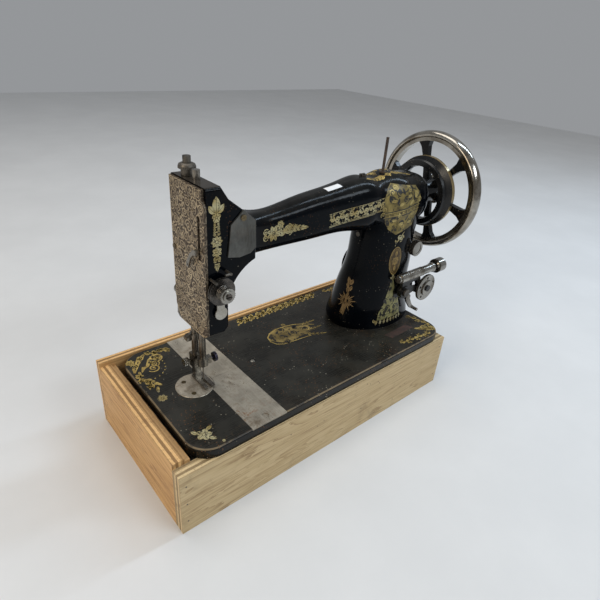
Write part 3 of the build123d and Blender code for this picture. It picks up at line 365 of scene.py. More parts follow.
def engraved():
    """Face plate's brown ground with fine curling lines; face_scrolls() adds the large ones."""
    s = Shader("engraved_ground")
    warp = s.tree.nodes.new("ShaderNodeTexNoise")
    s.feed(warp.inputs["Vector"], s.place)
    warp.inputs["Scale"].default_value = 70
    warp.inputs["Detail"].default_value = 1.0
    shifted = s.tree.nodes.new("ShaderNodeMix")
    shifted.data_type = "RGBA"
    shifted.blend_type = "ADD"
    shifted.inputs["Factor"].default_value = 0.012
    s.feed(shifted.inputs[COLOUR_A], s.place)
    s.feed(shifted.inputs[COLOUR_B], warp.outputs["Color"])
    curl = s.math("SINE", s.mul(s.cells(150, shifted.outputs[COLOUR_OUT]), 17.0))
    lines = s.mul(s.span(curl, 0.25, 0.70), s.span(s.noise(55, 5, 0.6), 0.30, 0.60, 0.35, 1.0))
    ground = s.mix(s.noise(60, 4), (0.030, 0.019, 0.011), (0.066, 0.044, 0.026))
    colour = s.mix(s.mul(lines, 0.75), ground, (0.30, 0.245, 0.17))
    s.bump(lines, 0.5, 0.0003)
    return s.done(colour, s.span(lines, 0, 1, 0.60, 0.42), s.span(lines, 0, 1, 0.1, 0.5), 0.4)


# ------------------------------------------------------------------ plywood
GRIME_SPOT = (0.055, 0.030, 0.014)
GLUE_LINE = (0.085, 0.042, 0.018)
EDGE_PORE = (0.16, 0.085, 0.035)
EDGE_KNOT = (0.20, 0.095, 0.035)


def plywood(name, thick, grain_along, tone, plies, origin, depth):
    """Face veneer with long grain, and ply layers wherever the surface cuts across the sheet.

    thick is the axis across the sheet, grain_along the axis of the face grain, tone its light, mid
    and dark colours, plies the number of layers; origin and depth place the sheet along thick.
    """
    s = Shader(name)
    across_axis = "xyz".index(thick)
    grain_axis = "xyz".index(grain_along)
    figure_stretch = [1.0, 1.0, 1.0]
    figure_stretch[grain_axis] = 0.07
    figure_stretch[across_axis] = 0.35
    fibre_stretch = [1.0, 1.0, 1.0]
    fibre_stretch[grain_axis] = 0.04
    figure = s.noise(34, 5, 0.55, s.stretched(*figure_stretch), 1.4)
    rings = s.math("FRACT", s.mul(figure, 9.0))
    band = s.math("POWER", rings, 1.8)
    fibre = s.noise(420, 4, 0.65, s.stretched(*fibre_stretch))
    light, mid, dark = tone
    colour = s.mix(s.mul(band, 0.90), light, mid)
    late = s.mul(s.span(rings, 0.80, 0.96), s.span(s.noise(22, 3), 0.38, 0.60))
    colour = s.mix(s.mul(late, 0.70), colour, dark)
    colour = s.mix(s.mul(s.span(fibre, 0.46, 0.72), 0.50), colour, dark)
    colour = s.mix(s.mul(s.span(s.noise(9, 4, 0.6), 0.45, 0.75), 0.5), colour, mid)
    smudge = s.mul(s.span(s.noise(28, 6, 0.65), 0.56, 0.74), 0.40)
    colour = s.mix(smudge, colour, [0.62 * c for c in dark])
    marks = s.mul(s.specks(95, 0.10), s.span(s.noise(14, 2), 0.52, 0.60))
    colour = s.mix(s.mul(marks, 0.8), colour, GRIME_SPOT)
    across = s.parts(s.normal)[across_axis]
    edge = s.span(s.math("ABSOLUTE", across), 0.75, 0.45)
    layer = s.mul(s.math("SUBTRACT", s.parts(s.place)[across_axis], origin), plies / depth)
    layer = s.math("ADD", layer, s.mul(s.noise(26, 4, 0.65), 0.55))
    layer = s.math("ADD", layer, s.mul(s.math("SINE", s.mul(layer, 2.1)), 0.28))
    turn = s.tree.nodes.new("ShaderNodeTexWhiteNoise")
    turn.noise_dimensions = "1D"
    s.feed(turn.inputs["W"], s.math("FLOOR", layer))
    ply = s.span(turn.outputs["Value"], 0.15, 0.85)
    glue = s.span(s.math("ABSOLUTE", s.math("SUBTRACT", s.math("FRACT", layer), 0.5)), 0.40, 0.47)
    cut = s.mix(ply, [1.10 * c for c in light], [0.62 * c for c in mid])
    open_joint = s.mul(glue, s.span(s.noise(70, 4, 0.7), 0.38, 0.58, 0.15, 0.95))
    cut = s.mix(open_joint, cut, GLUE_LINE)
    cut = s.mix(s.mul(s.span(s.noise(300, 4, 0.7), 0.50, 0.72), 0.5), cut, EDGE_PORE)
    knots = s.mul(s.span(s.noise(40, 5, 0.7), 0.58, 0.68), 0.6)
    cut = s.mix(knots, cut, EDGE_KNOT)
    colour = s.mix(edge, colour, cut)
    s.bump(s.math("ADD", s.mul(fibre, 0.5), s.mul(edge, ply, 0.8)), 0.25, 0.0006)
    return s.done(colour, s.span(fibre, 0.3, 0.8, 0.50, 0.68))


# ------------------------------------------------------------------ other finishes
BLACK_UNDER_GOLD = (0.006, 0.006, 0.006)


def gold(name, tint, deep, worn, metallic=0.35, patch=190):
    """Gold transfer, rubbed through to the black in patches; more with a larger worn.

    A larger patch number makes the patches smaller.
    """
    s = Shader(name)
    cloud = s.noise(85, 5, 0.6)
    colour = s.mix(s.span(cloud, 0.32, 0.70), deep, tint)
    rubbed = s.span(s.noise(patch, 5, 0.72), worn, worn - 0.06)
    fine = s.span(s.noise(620, 3, 0.6), 0.60, 0.68)
    gone = s.math("MAXIMUM", rubbed, s.mul(fine, 0.8))
    colour = s.mix(gone, colour, BLACK_UNDER_GOLD)
    left = s.math("SUBTRACT", 1.0, gone)
    s.bump(left, 0.2, 0.0001)
    return s.done(colour, s.span(cloud, 0.3, 0.7, 0.34, 0.52), s.mul(left, metallic), 0.4)


def plain(name, low, high, scale, rough, metallic=0.0, bump=0.15):
    """A finish with one soft mottling from low to high: paper, ink, blued steel."""
    s = Shader(name)
    n = s.noise(scale, 6, 0.65)
    s.bump(n, bump, 0.0004)
    colour = s.mix(s.span(n, 0.3, 0.75), low, high)
    return s.done(colour, s.span(n, 0.3, 0.8, rough - 0.06, rough + 0.1), metallic)


# The blue cast in the arm's black tint is painted cool sheen on the black enamel.
ARM_JAPAN = japan("arm_japan", 0.20, 0.09, 0.35, 0.085, (0.0009, 0.0015, 0.0024))
BED_JAPAN = japan("bed_japan", 0.36, 0.17, 1.0, 0.22, (0.0034, 0.0034, 0.0030), True)
SMALL_JAPAN = japan("small_japan", 0.12, 0.20, 0.5, 0.25, (0.0030, 0.0033, 0.0036))
PLATE_STEEL = steel("plate_steel", (0.46, 0.41, 0.33), (0.27, 0.24, 0.19), 0.42, (1, 0.05, 1),
                    rust=0.9, rust_end=(head(0, 6, 0).y, head(0, -80, 0).y), metallic=0.55,
                    stains=0.9)
DISC_STEEL = steel("disc_steel", (0.52, 0.46, 0.37), (0.30, 0.26, 0.20), 0.36, (1, 0.05, 1),
                   rust=0.5, metallic=0.6, stains=0.7)
SHIELD_STEEL = steel("shield_steel", (0.13, 0.13, 0.12), (0.060, 0.058, 0.052), 0.36,
                     (1, 1, 0.1), rust=0.25)
BAR_STEEL = steel("bar_steel", (0.27, 0.25, 0.215), (0.060, 0.047, 0.036), 0.24, (1, 1, 0.04),
                  rust=0.15)
DARK_IRON = steel("dark_iron", (0.13, 0.115, 0.095), (0.045, 0.040, 0.034), 0.40,
                  rust=0.5, metallic=0.7)
TENSION_STEEL = steel("tension_steel", (0.155, 0.14, 0.125), (0.040, 0.036, 0.032), 0.26, rust=0.2)
PALE_NICKEL = steel("pale_nickel", (0.46, 0.44, 0.39), (0.24, 0.22, 0.18), 0.32,
                    rust=0.1, metallic=0.8)
BRONZE = steel("old_bronze", (0.20, 0.155, 0.085), (0.070, 0.052, 0.030), 0.36, rust=0.2)
RIM_NICKEL = nickel("rim_nickel", (0.40, 0.375, 0.33), (0.13, 0.105, 0.075), 0.09)
NICKEL = nickel("old_nickel", (0.30, 0.285, 0.255), (0.115, 0.095, 0.070), 0.18)
PULLEY = pulley_paint()
WINDER = winder_paint()
ENGRAVED = engraved()
SCREW_DISC = plain("blued_disc", (0.012, 0.009, 0.018), (0.035, 0.026, 0.045), 160, 0.30, 0.6)
SPOOL_PIN = plain("spool_pin_brown", (0.045, 0.030, 0.022), (0.10, 0.07, 0.05), 120, 0.45, 0.3)
HONEY = ((0.66, 0.40, 0.165), (0.47, 0.255, 0.090), (0.26, 0.115, 0.035))
PALE = ((0.58, 0.435, 0.235), (0.45, 0.315, 0.150), (0.26, 0.155, 0.065))


def sheet_of(node, thick, grain_along, tone, plies):
    """Plywood finish fitted to one panel of the box."""
    axis = "xyz".index(thick)
    low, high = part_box(node)
    depth = high[axis] - low[axis]
    return plywood(node + "_ply", thick, grain_along, tone, plies, low[axis], depth)


FINISH = {
    "bed": BED_JAPAN,
    "arm_casting": ARM_JAPAN,
    "face_plate": ENGRAVED,
    "front_cover_plate": SHIELD_STEEL,
    "rear_cover_plate": SHIELD_STEEL,
    "needle_plate": DISC_STEEL,
    "slide_plate_front": PLATE_STEEL,
    "slide_plate_rear": PLATE_STEEL,
    "handwheel": SMALL_JAPAN,
    "handwheel_rim": RIM_NICKEL,
    "belt_pulley": PULLEY,
    "spool_pin": SPOOL_PIN,
    "needle_clamp_screw": SCREW_DISC,
    "slack_thread_regulator": PALE_NICKEL,
    "tension_discs": TENSION_STEEL,
    "tension_post": TENSION_STEEL,
    "cover_screws": BRONZE,
    "shaft_bushes": BRONZE,
    "winder_frame": WINDER,
    "winder_bracket": SMALL_JAPAN,
    "box_front_panel": sheet_of("box_front_panel", "y", "x", PALE, 7),
    "box_back_panel": sheet_of("box_back_panel", "y", "x", HONEY, 5),
    "box_left_panel": sheet_of("box_left_panel", "x", "y", HONEY, 7),
    "box_right_panel": sheet_of("box_right_panel", "x", "y", PALE, 7),
    "box_cleats": plywood("cleat_wood", "x", "y", HONEY, 2, 0.0, 0.012),
}
FINISH.update(dict.fromkeys((
    "tension_nut", "presser_foot_screw", "stitch_regulator", "stop_motion_screw",
    "winder_spindle", "winder_pulley", "winder_cam_wheel", "winder_thread_guide",
    "clamp_washer"), NICKEL))
FINISH.update(dict.fromkeys((
    "arm_shaft", "needle_bar", "presser_bar", "needle", "take_up_lever", "presser_foot",
    "needle_clamp", "thread_cutter", "presser_lifter", "feed_dog", "shuttle",
    "shuttle_carrier", "bobbin", "tension_spring"), BAR_STEEL))
for name, obj in nodes.items():
    obj.data.materials.clear()
    obj.data.materials.append(FINISH.get(name, DARK_IRON))


# ------------------------------------------------------------------ ornament, as thin transfers
FACET = 1.6     # longest edge of a transfer's mesh, mm
REACH = 0.045   # how far before and behind the drawing's plane a surface may lie, m


def polar(u, v, radius, degrees):
    """The drawing point at radius and angle from (u, v)."""
    a = math.radians(degrees)
    return u + radius * math.cos(a), v + radius * math.sin(a)


class Transfer:
    """Flat ornament in millimetres, laid on a CAD node's surface.

    centre is the drawing's origin on the machine, right and up its two directions, look the
    direction in which it is pressed on to the surface, and lift how far it stands off it.
    """
    surfaces = {}

    def __init__(self, name, node, centre, right, up, look, lift=0.08):
        self.name = name
        self.centre = head(*centre)
        self.right = Vector(right).normalized()
        self.up = Vector(up).normalized()
        self.look = Vector(look).normalized()
        self.lift = lift * MM
        if node not in self.surfaces:
            mesh = nodes[node].data
            self.surfaces[node] = BVHTree.FromPolygons([v.co for v in mesh.vertices],
                                                       [p.vertices for p in mesh.polygons])
        self.surface = self.surfaces[node]
        self.points = []
        self.faces = []

    def press(self, u, v):
        """The point of the surface under drawing point (u, v), or None."""
        over = self.centre + (self.right * u + self.up * v) * MM
        hit, normal, _, _ = self.surface.ray_cast(over - self.look * REACH, self.look, 2 * REACH)
        if hit is None:
            return None
        if normal.dot(self.look) > 0:
            normal = -normal
        return hit + normal * self.lift

    def ribbon(self, path, halves):
        """Strip along path; halves is its half width, one number or one per point."""
        if not isinstance(halves, (list, tuple)):
            halves = [halves] * len(path)
        spine = [(*path[0], halves[0])]
        for a, b, ha, hb in zip(path, path[1:], halves, halves[1:]):
            cuts = max(1, math.ceil(math.dist(a, b) / FACET))
            for i in range(1, cuts + 1):
                t = i / cuts
                spine.append((a[0] + (b[0] - a[0]) * t, a[1] + (b[1] - a[1]) * t,
                              ha + (hb - ha) * t))
        across = max(1, math.ceil(2 * max(halves) / FACET))
        rows = []
        for i, (u, v, half) in enumerate(spine):
            u0, v0, _ = spine[max(i - 1, 0)]
            u1, v1, _ = spine[min(i + 1, len(spine) - 1)]
            length = math.hypot(u1 - u0, v1 - v0) or 1.0
            nu, nv = -(v1 - v0) / length, (u1 - u0) / length
            row = []
            for j in range(across + 1):
                side = half * (2.0 * j / across - 1.0)
                point = self.press(u + nu * side, v + nv * side)
                row.append(None if point is None else len(self.points))
                if point is not None:
                    self.points.append(point)
            rows.append(row)
        for a, b in zip(rows, rows[1:]):
            for j in range(across):
                face = (a[j], a[j + 1], b[j + 1], b[j])
                if None not in face:
                    self.faces.append(face)

    def leaf(self, u, v, angle, length, width, bend=0.0, vein=True):
        """Pointed leaf from its root at (u, v); bend curls its tip, vein leaves a gap down it."""
        steps = 9
        turn = math.radians(angle)
        spine, swell = [], []
        for i in range(steps + 1):
            t = i / steps
            along, aside = length * t, bend * t * t
            spine.append((u + along * math.cos(turn) - aside * math.sin(turn),
                          v + along * math.sin(turn) + aside * math.cos(turn)))
            swell.append(max(0.03, width / 2 * math.sin(math.pi * min(1.0, 0.04 + t)) ** 0.75))
        if not vein:
            self.ribbon(spine, swell)
            return
        for side in (-1, 1):
            offset = []
            for (pu, pv), half in zip(spine, swell):
                shift = side * (half / 2 + 0.10)
                offset.append((pu - shift * math.sin(turn), pv + shift * math.cos(turn)))
            self.ribbon(offset, [max(0.02, half / 2 - 0.08) for half in swell])

    def scroll(self, u, v, angle, radius, turns=1.4, width=1.0, hand=1):
        """Spiral that starts at its outside at (u, v), heading along angle, and ends in a dot."""
        steps = int(16 * turns) + 4
        turn = math.radians(angle)
        cu = u - hand * radius * math.sin(turn)
        cv = v + hand * radius * math.cos(turn)
        path, halves = [], []
        for i in range(steps + 1):
            t = i / steps
            r = radius * (1 - 0.86 * t)
            a = turn - hand * math.pi / 2 + hand * 2 * math.pi * turns * t
            path.append((cu + r * math.cos(a), cv + r * math.sin(a)))
            halves.append(width / 2 * (0.35 + 0.65 * math.sin(math.pi * min(1.0, 0.15 + t))))
        self.ribbon(path, halves)
        self.dot(*path[-1], width * 0.85)

    def scrolls(self, turns, width, spots):
        """One scroll per (u, v, angle, radius, hand)."""
        for u, v, angle, radius, hand in spots:
            self.scroll(u, v, angle, radius, turns, width, hand)

    def leaves(self, length, width, bend, vein, spots):
        """Leaves of one size, one per (u, v, angle)."""
        for u, v, angle in spots:
            self.leaf(u, v, angle, length, width, bend, vein)

    def dot(self, u, v, r, hole=0.0):
        """Disc of radius r, or a ring round a hole."""
        steps = 12
        mid = (r + hole) / 2
        path = []
        for i in range(steps + 1):
            a = 2 * math.pi * i / steps
            path.append((u + mid * math.cos(a), v + mid * math.sin(a)))
        self.ribbon(path, (r - hole) / 2)

    def rosette(self, u, v, r, petals=6, turn=0.0):
        """Flower of leaves round a dot."""
        for i in range(petals):
            a = turn + 360 * i / petals
            root = polar(u, v, 0.24 * r, a)
            self.leaf(*root, a, 0.76 * r, 0.62 * r * 6 / petals)
        self.dot(u, v, 0.2 * r)

    def rays(self, u, v, inner, outer, count, width, first=0.0):
        """Ring of long and short rays."""
        for i in range(count):
            a = math.radians(first + 360.0 * i / count)
            reach = outer if i % 2 == 0 else inner + 0.6 * (outer - inner)
            self.leaf(u + inner * math.cos(a), v + inner * math.sin(a), math.degrees(a),
                      reach - inner, width, vein=False)

    def spray(self, u, v, angle, length, pairs, leaf_length, leaf_width, bend=0.0):
        """Stem with paired leaves and one at its tip."""
        turn = math.radians(angle)

        def along(t):
            aside = bend * t * t
            return (u + length * t * math.cos(turn) - aside * math.sin(turn),
                    v + length * t * math.sin(turn) + aside * math.cos(turn))

        self.ribbon([along(i / 8) for i in range(9)], [0.45 - 0.03 * i for i in range(9)])
        for i in range(pairs):
            t = (i + 0.6) / pairs
            heading = angle + math.degrees(math.atan2(2 * bend * t, length))
            size = 1.0 - 0.45 * t
            for side in (-1, 1):
                self.leaf(*along(t), heading + side * 48, leaf_length * size, leaf_width * size,
                          -side * 0.22 * leaf_length)
        heading = angle + math.degrees(math.atan2(2 * bend, length))
        self.leaf(*along(1.0), heading, leaf_length, leaf_width)

    def vine(self, start, end, height, count, width=0.9):
        """Running scroll border between two points of the drawing."""
        du, dv = end[0] - start[0], end[1] - start[1]
        length = math.hypot(du, dv)
        heading = math.degrees(math.atan2(dv, du))
        pu, pv = -dv / length, du / length
        wave = []
        steps = count * 8
        for i in range(steps + 1):
            t = i / steps
            rise = 0.30 * height * math.sin(math.pi * count * t)
            wave.append((start[0] + du * t + pu * rise, start[1] + dv * t + pv * rise))
        self.ribbon(wave, width * 0.42)
        for i in range(count):
            t = (i + 0.5) / count
            side = 1 if i % 2 == 0 else -1
            u = start[0] + du * t + pu * 0.30 * height * side
            v = start[1] + dv * t + pv * 0.30 * height * side
            self.scroll(u, v, heading, 0.27 * height, 1.2, width, -side)
            self.leaf(u, v, heading + side * 38, 0.40 * height, 0.16 * height, -side * 0.8)
            self.leaf(u, v, heading + 180 - side * 30, 0.34 * height, 0.14 * height, side * 0.8)

    def finish(self, material):
        """Make the drawing one object with this material, riding the machine."""
        mesh = bpy.data.meshes.new(self.name)
        mesh.from_pydata([tuple(p) for p in self.points], [], self.faces)
        mesh.materials.append(material)
        mesh.update()
        obj = bpy.data.objects.new(self.name, mesh)
        scene.collection.objects.link(obj)
        for polygon in mesh.polygons:
            polygon.use_smooth = True
        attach(obj, "machine")
        return obj


FRONT = dict(right=(1, 0, 0), up=(0, 0, 1), look=(0, 1, 0))
DOWN = dict(right=(1, 0, 0), up=(0, 1, 0), look=(0, 0, -1))
RICH = gold("gold_rich", (0.62, 0.455, 0.145), (0.33, 0.225, 0.060), 0.39)
OLIVE = gold("gold_olive", (0.33, 0.305, 0.125), (0.14, 0.125, 0.050), 0.465, 0.2, 130)
PALE_GOLD = gold("gold_pale", (0.50, 0.455, 0.27), (0.34, 0.25, 0.085), 0.43)
AMBER = gold("gold_amber", (0.085, 0.050, 0.014), (0.040, 0.022, 0.007), 0.36, 0.2)
INK = plain("ink_lines", (0.003, 0.003, 0.003), (0.008, 0.007, 0.006), 120, 0.45)


def head_strip():
    """Upright floral drop on the head's front."""
    t = Transfer("gold_head_drop", "arm_casting", (-126.4, -30, 176), **FRONT)
    t.leaf(0, 21, 90, 14, 7.5)
    t.leaf(-1, 21, 150, 9, 5.5, -2.5)
    t.leaf(1, 21, 30, 9, 5.5, 2.5)
    t.rosette(0, 17, 4.5, 5, 90)
    for v, half in ((13, 2.6), (8.5, 3.0), (4, 3.2), (-21, 3.2), (-26, 2.6)):
        t.ribbon([(-half, v), (half, v)], 0.5)
        t.leaf(-0.5, v - 2.2, 180, half, 2.4)
        t.leaf(0.5, v - 2.2, 0, half, 2.4)
    t.ribbon([(-2.3, 12), (-2.3, 2)], 0.4)
    t.ribbon([(2.3, 12), (2.3, 2)], 0.4)
    t.rosette(0, -5, 6.0, 8)
    t.rosette(0, -14.5, 5.2, 6, 30)
    t.scroll(-1.5, -19, 180, 2.1, 1.1, 1.0, 1)
    t.scroll(1.5, -19, 0, 2.1, 1.1, 1.0, -1)
    t.leaf(0, -27, 270, 6, 3.4)
    t.finish(PALE_GOLD)


def face_scrolls():
    """Curling stems engraved all over the face plate, bright against the brown."""
    t = Transfer("face_plate_scrolls", "face_plate", (-145, 0, 145),
                 right=(0, -1, 0), up=(0, 0, 1), look=(1, 0, 0), lift=0.05)
    dice = random.Random(11)
    for row in range(13):
        v = -65 + 11.0 * row
        for column in range(5):
            u = -23 + 11.5 * column + (2.8 if row % 2 else -2.8) + dice.uniform(-1.2, 1.2)
            radius = dice.uniform(3.8, 6.6)
            hand = dice.choice((-1, 1))
            start = dice.uniform(0, 360)
            turns, width = dice.uniform(1.4, 2.1), dice.uniform(0.9, 1.3)
            t.scroll(*polar(u, v, radius, start), start + 90 * hand, radius, turns, width, hand)
            for turn in (50, 170, 290):
                lean = start + turn + dice.uniform(-25, 25)
                length, width = dice.uniform(4.5, 7.0), dice.uniform(1.4, 2.2)
                t.leaf(*polar(u, v, radius + 0.6, lean), lean + 70 * hand, length, width,
                       1.2 * hand, False)
    t.ribbon([(30.0, -66.5), (23.6, -71.0), (-19.8, -71.0), (-27.9, -56.6), (-27.9, 71.0),
              (26, 71.0)], 0.45)
    t.finish(steel("scroll_metal", (0.55, 0.44, 0.285), (0.27, 0.20, 0.12), 0.38, metallic=0.55))


def arm_ornament():
    """Leaf scrolls along the arm's front, larger towards the pillar."""
    t = Transfer("gold_arm_left", "arm_casting", (-38, -15, 160), **FRONT)
    t.rosette(-15, -1.0, 8.6, 8, 22)
    t.dot(-15, -1.0, 3.4, 2.5)
    t.rosette(-7, 6.5, 4.6, 6, 10)
    t.scroll(-8, 3, 30, 5.2, 1.5, 1.5, -1)
    t.scroll(-8, -4, -20, 4.8, 1.5, 1.5, 1)
    t.scroll(-22, 4, 130, 3.6, 1.3, 1.2, 1)
    t.scroll(-22, -6, 230, 3.6, 1.3, 1.2, -1)
    t.spray(-5, 0, 3, 25, 5, 8.5, 3.6, -2.0)
    t.scroll(3, 6.0, 10, 3.6, 1.2, 1.2, -1)
    t.scroll(10, 4.5, 0, 3.0, 1.2, 1.0, -1)
    t.scroll(4, -6.0, -10, 3.2, 1.2, 1.1, 1)
    t.finish(PALE_GOLD)

    t = Transfer("gold_arm_band", "arm_casting", (58, -22, 164),
                 right=(0.98, 0, 0.10), up=(-0.10, 0, 0.98), look=(0, 1, 0))
    for v in (-7.6, -6.4, 7.2):
        t.ribbon([(-40 + 4 * i, v) for i in range(21)], 0.28)
    t.vine((-39, 0), (41, 0.8), 12.5, 12, 1.5)
    for i in range(20):
        t.dot(-38 + 4 * i, 5.9, 0.55)
        t.leaf(-38 + 4 * i, -5.6, 60, 2.4, 1.1)
    t.finish(PALE_GOLD)

    t = Transfer("gold_arm_panel", "arm_casting", (128, -30, 160), **FRONT)
    t.ribbon([(1, 27), (0, 20), (-1, 10), (0, 0), (2, -8), (4, -18), (7, -28)],
             [20, 27, 30, 28, 26, 23, 14])
    t.finish(gold("gold_panel", (0.27, 0.205, 0.060), (0.105, 0.076, 0.018), 0.455, 0.15, 140))
    t = Transfer("ink_arm_panel", "arm_casting", (128, -30, 160), lift=0.15, **FRONT)
    t.scrolls(1.5, 1.8, ((-19, 8, 20, 4.5, 1), (-9, 16, 200, 4.2, -1), (0, 6, 0, 5.2, 1),
                         (11, 17, 190, 4.6, -1), (18, 6, 10, 4.6, 1), (-14, -17, 10, 3.4, 1),
                         (0, -22, 0, 4.0, 1), (13, -14, 180, 3.6, 1)))
    t.ribbon([(-28, -10.4), (-12, -8.4), (6, -6.8), (25, -4.2)], [0.5, 1.0, 1.0, 0.6])
    t.ribbon([(-27, -3.8), (-12, -2.0), (6, 0.0), (27, 2.6)], [0.5, 0.9, 0.9, 0.5])
    t.ribbon([(-29, 16), (-18, 23), (-4, 19), (8, 23.5), (20, 20), (26, 11)],
             [0.3, 0.8, 0.5, 0.9, 0.6, 0.3])
    t.leaves(8.0, 3.4, 1.6, False, ((-24, 12, 60), (-12, 6, 70), (-3, 17, 100), (6, 10, 40),
                                    (14, 10, 75), (22, 12, 30), (-8, -13, 80), (6, -16, 60),
                                    (-17, -19, 120), (18, -21, 45)))
    t.finish(INK)
    t = Transfer("gold_panel_lines", "arm_casting", (128, -30, 160), lift=0.20, **FRONT)
    t.leaves(8.5, 3.4, -1.5, True, ((-21, 10, 10), (-9, 4, 35), (2, 14, 10), (9, 3, 60),
                                    (16, 14, -20), (-4, -20, 20), (10, -19, 15),
                                    (-15, -13, -10)))
    t.ribbon([(-27, -9.4), (-12, -7.6), (6, -5.8), (28, -3.0)], 0.35)
    t.ribbon([(-27, -4.6), (-12, -2.8), (6, -1.0), (28, 2.0)], 0.35)
    t.rosette(20, 15, 5.0, 6)
    t.scroll(-22, 17, 150, 4.0, 1.2, 1.0, -1)
    t.scrolls(1.3, 1.0, ((-26, -1, 60, 3.4, 1), (-31, -8, 150, 3.4, -1), (-14, 22, 20, 3.4, 1),
                         (6, 25, 0, 3.4, -1), (24, 8, 80, 3.4, -1), (19, -11, 40, 3.4, 1),
                         (-6, -12, 10, 3.4, 1), (3, -26, 20, 3.4, 1)))
    for i in range(7):
        t.dot(-20 + 6.4 * i, -7.0 + 0.8 * i, 0.9)
    t.finish(gold("gold_bright", (0.54, 0.435, 0.17), (0.30, 0.22, 0.065), 0.42, 0.3))


def arm_top():
    """Star and leaf sprays round the spool pin."""
    t = Transfer("gold_arm_top", "arm_casting", (117, 0, 197), **DOWN)
    t.rays(0, -8, 1.2, 5.4, 8, 2.0)
    for side in (-1, 1):
        t.spray(side * 4, -8, 90 - side * 88, 27, 5, 8, 3.6, side * -2.5)
        t.spray(side * 4, 9, 90 - side * 80, 24, 4, 8, 3.6, side * 2.0)
        t.scroll(side * 9, 1, 90 - side * 90, 4.2, 1.2, 1.1, side)
    t.leaf(0, 9, 90, 9, 4.5)
    t.finish(RICH)


def pillar_front():
    """Small scroll, oval medallion and garland down the pillar's front."""
    t = Transfer("gold_pillar_scroll", "arm_casting", (129, -31, 121), **FRONT)
    t.scroll(1, 5, 150, 3.0, 1.2, 1.2, 1)
    t.scroll(1, -3, -30, 3.2, 1.2, 1.2, 1)
    t.ribbon([(-6, -8), (-4, -3), (0, 1), (4, 6), (7, 9)], [0.3, 0.6, 0.7, 0.6, 0.3])
    t.leaf(-5, -5, 100, 6, 2.4, 1)
    t.leaf(4, 5, -40, 6, 2.4, -1)
    t.finish(PALE_GOLD)

    t = Transfer("amber_medallion", "arm_casting", (127.5, -31, 93), **FRONT)
    rows = [i / 12 for i in range(-12, 13)]
    t.ribbon([(0, 18.5 * r) for r in rows], [max(0.2, 9.6 * math.sqrt(1 - r * r)) for r in rows])
    t.finish(AMBER)
    t = Transfer("gold_medallion_rim", "arm_casting", (127.5, -31, 93), lift=0.15, **FRONT)
    ring = [(math.cos(math.radians(a)), math.sin(math.radians(a))) for a in range(0, 361, 12)]
    t.ribbon([(9.3 * c, 18.2 * s) for c, s in ring], 0.5)
    t.ribbon([(7.4 * c, 15.6 * s) for c, s in ring], 0.22)
    t.rosette(0, 0, 6.4, 8)
    t.leaf(0, 6.5, 90, 7.5, 3.6)
    t.leaf(0, -6.5, 270, 7.5, 3.6)
    t.finish(gold("gold_dim", (0.38, 0.26, 0.085), (0.20, 0.13, 0.040), 0.38, 0.3))

    t = Transfer("olive_garland", "arm_casting", (130, -34, 34), **FRONT)
    t.ribbon([(-3, 36), (-3, 24), (-2, 12), (0, 0), (0, -12), (0, -22)],
             [1.2, 4.5, 9.5, 15, 20, 21])
    t.finish(OLIVE)
    t = Transfer("ink_garland", "arm_casting", (130, -34, 34), lift=0.15, **FRONT)
    t.scrolls(1.3, 1.7, ((-3, 20, 80, 2.6, 1), (-8, 6, 100, 3.6, 1), (5, 8, 60, 3.4, -1),
                         (-14, -8, 60, 3.8, -1), (-2, -6, 90, 4.2, 1), (11, -6, 110, 4.0, 1),
                         (-10, -19, 20, 3.2, 1), (7, -19, 10, 3.2, 1)))
    t.leaves(7, 2.6, 1.0, False, ((-4, 28, 90), (1, 14, 70), (-9, 0, 110), (4, -1, 80),
                                  (-17, -16, 80), (16, -12, 100), (0, -16, 90), (-5, -13, 45),
                                  (12, -18, 60)))
    t.ribbon([(-20, -14.5), (-8, -15.5), (8, -15.5), (21, -14)], 0.35)
    t.finish(INK)
    t = Transfer("gold_garland_drops", "arm_casting", (130, -37, 8), **FRONT)
    for i in range(8):
        t.leaf(-21 + 6 * i, 4, 262 + 2 * i, 6.5, 3.6)
    t.scroll(-25, 6, 200, 2.6, 1.1, 1.2, 1)
    t.leaf(-3, 62, 90, 6, 3.0)
    t.leaf(-3, 60, 140, 6, 2.6)
    t.leaf(-3, 60, 40, 6, 2.6)
    t.finish(PALE_GOLD)


def pillar_side():
    """Flower spray with fine rays on the pillar's left side."""
    t = Transfer("gold_pillar_spray", "arm_casting", (78, -5, 42),
                 right=(0.28, -0.96, 0), up=(0.12, 0.03, 0.99), look=(0.96, 0.28, -0.15))
    t.ribbon([(-3, -22), (-1, -12), (0, 0), (0.5, 8)], [1.6, 1.8, 1.4, 0.7])
    t.ribbon([(-5.2, -21), (-3, -11), (-1.6, -4)], [0.4, 0.7, 0.5])
    t.ribbon([(-0.6, -23), (1.2, -12), (1.6, -4)], [0.4, 0.7, 0.5])
    t.rays(0, -3, 3.0, 13.0, 20, 1.5, 8)
    t.leaf(0.5, 8, 100, 8, 4.2)
    t.leaf(1.5, 11, 60, 8, 4.0, 1.0)
    t.leaf(0.5, 14, 120, 8, 4.0, -1.0)
    t.leaf(1.5, 19, 70, 8.5, 4.6)
    t.leaf(0.0, 20, 105, 9, 4.4)
    t.finish(gold("gold_copper", (0.36, 0.235, 0.10), (0.20, 0.12, 0.045), 0.42, 0.3))


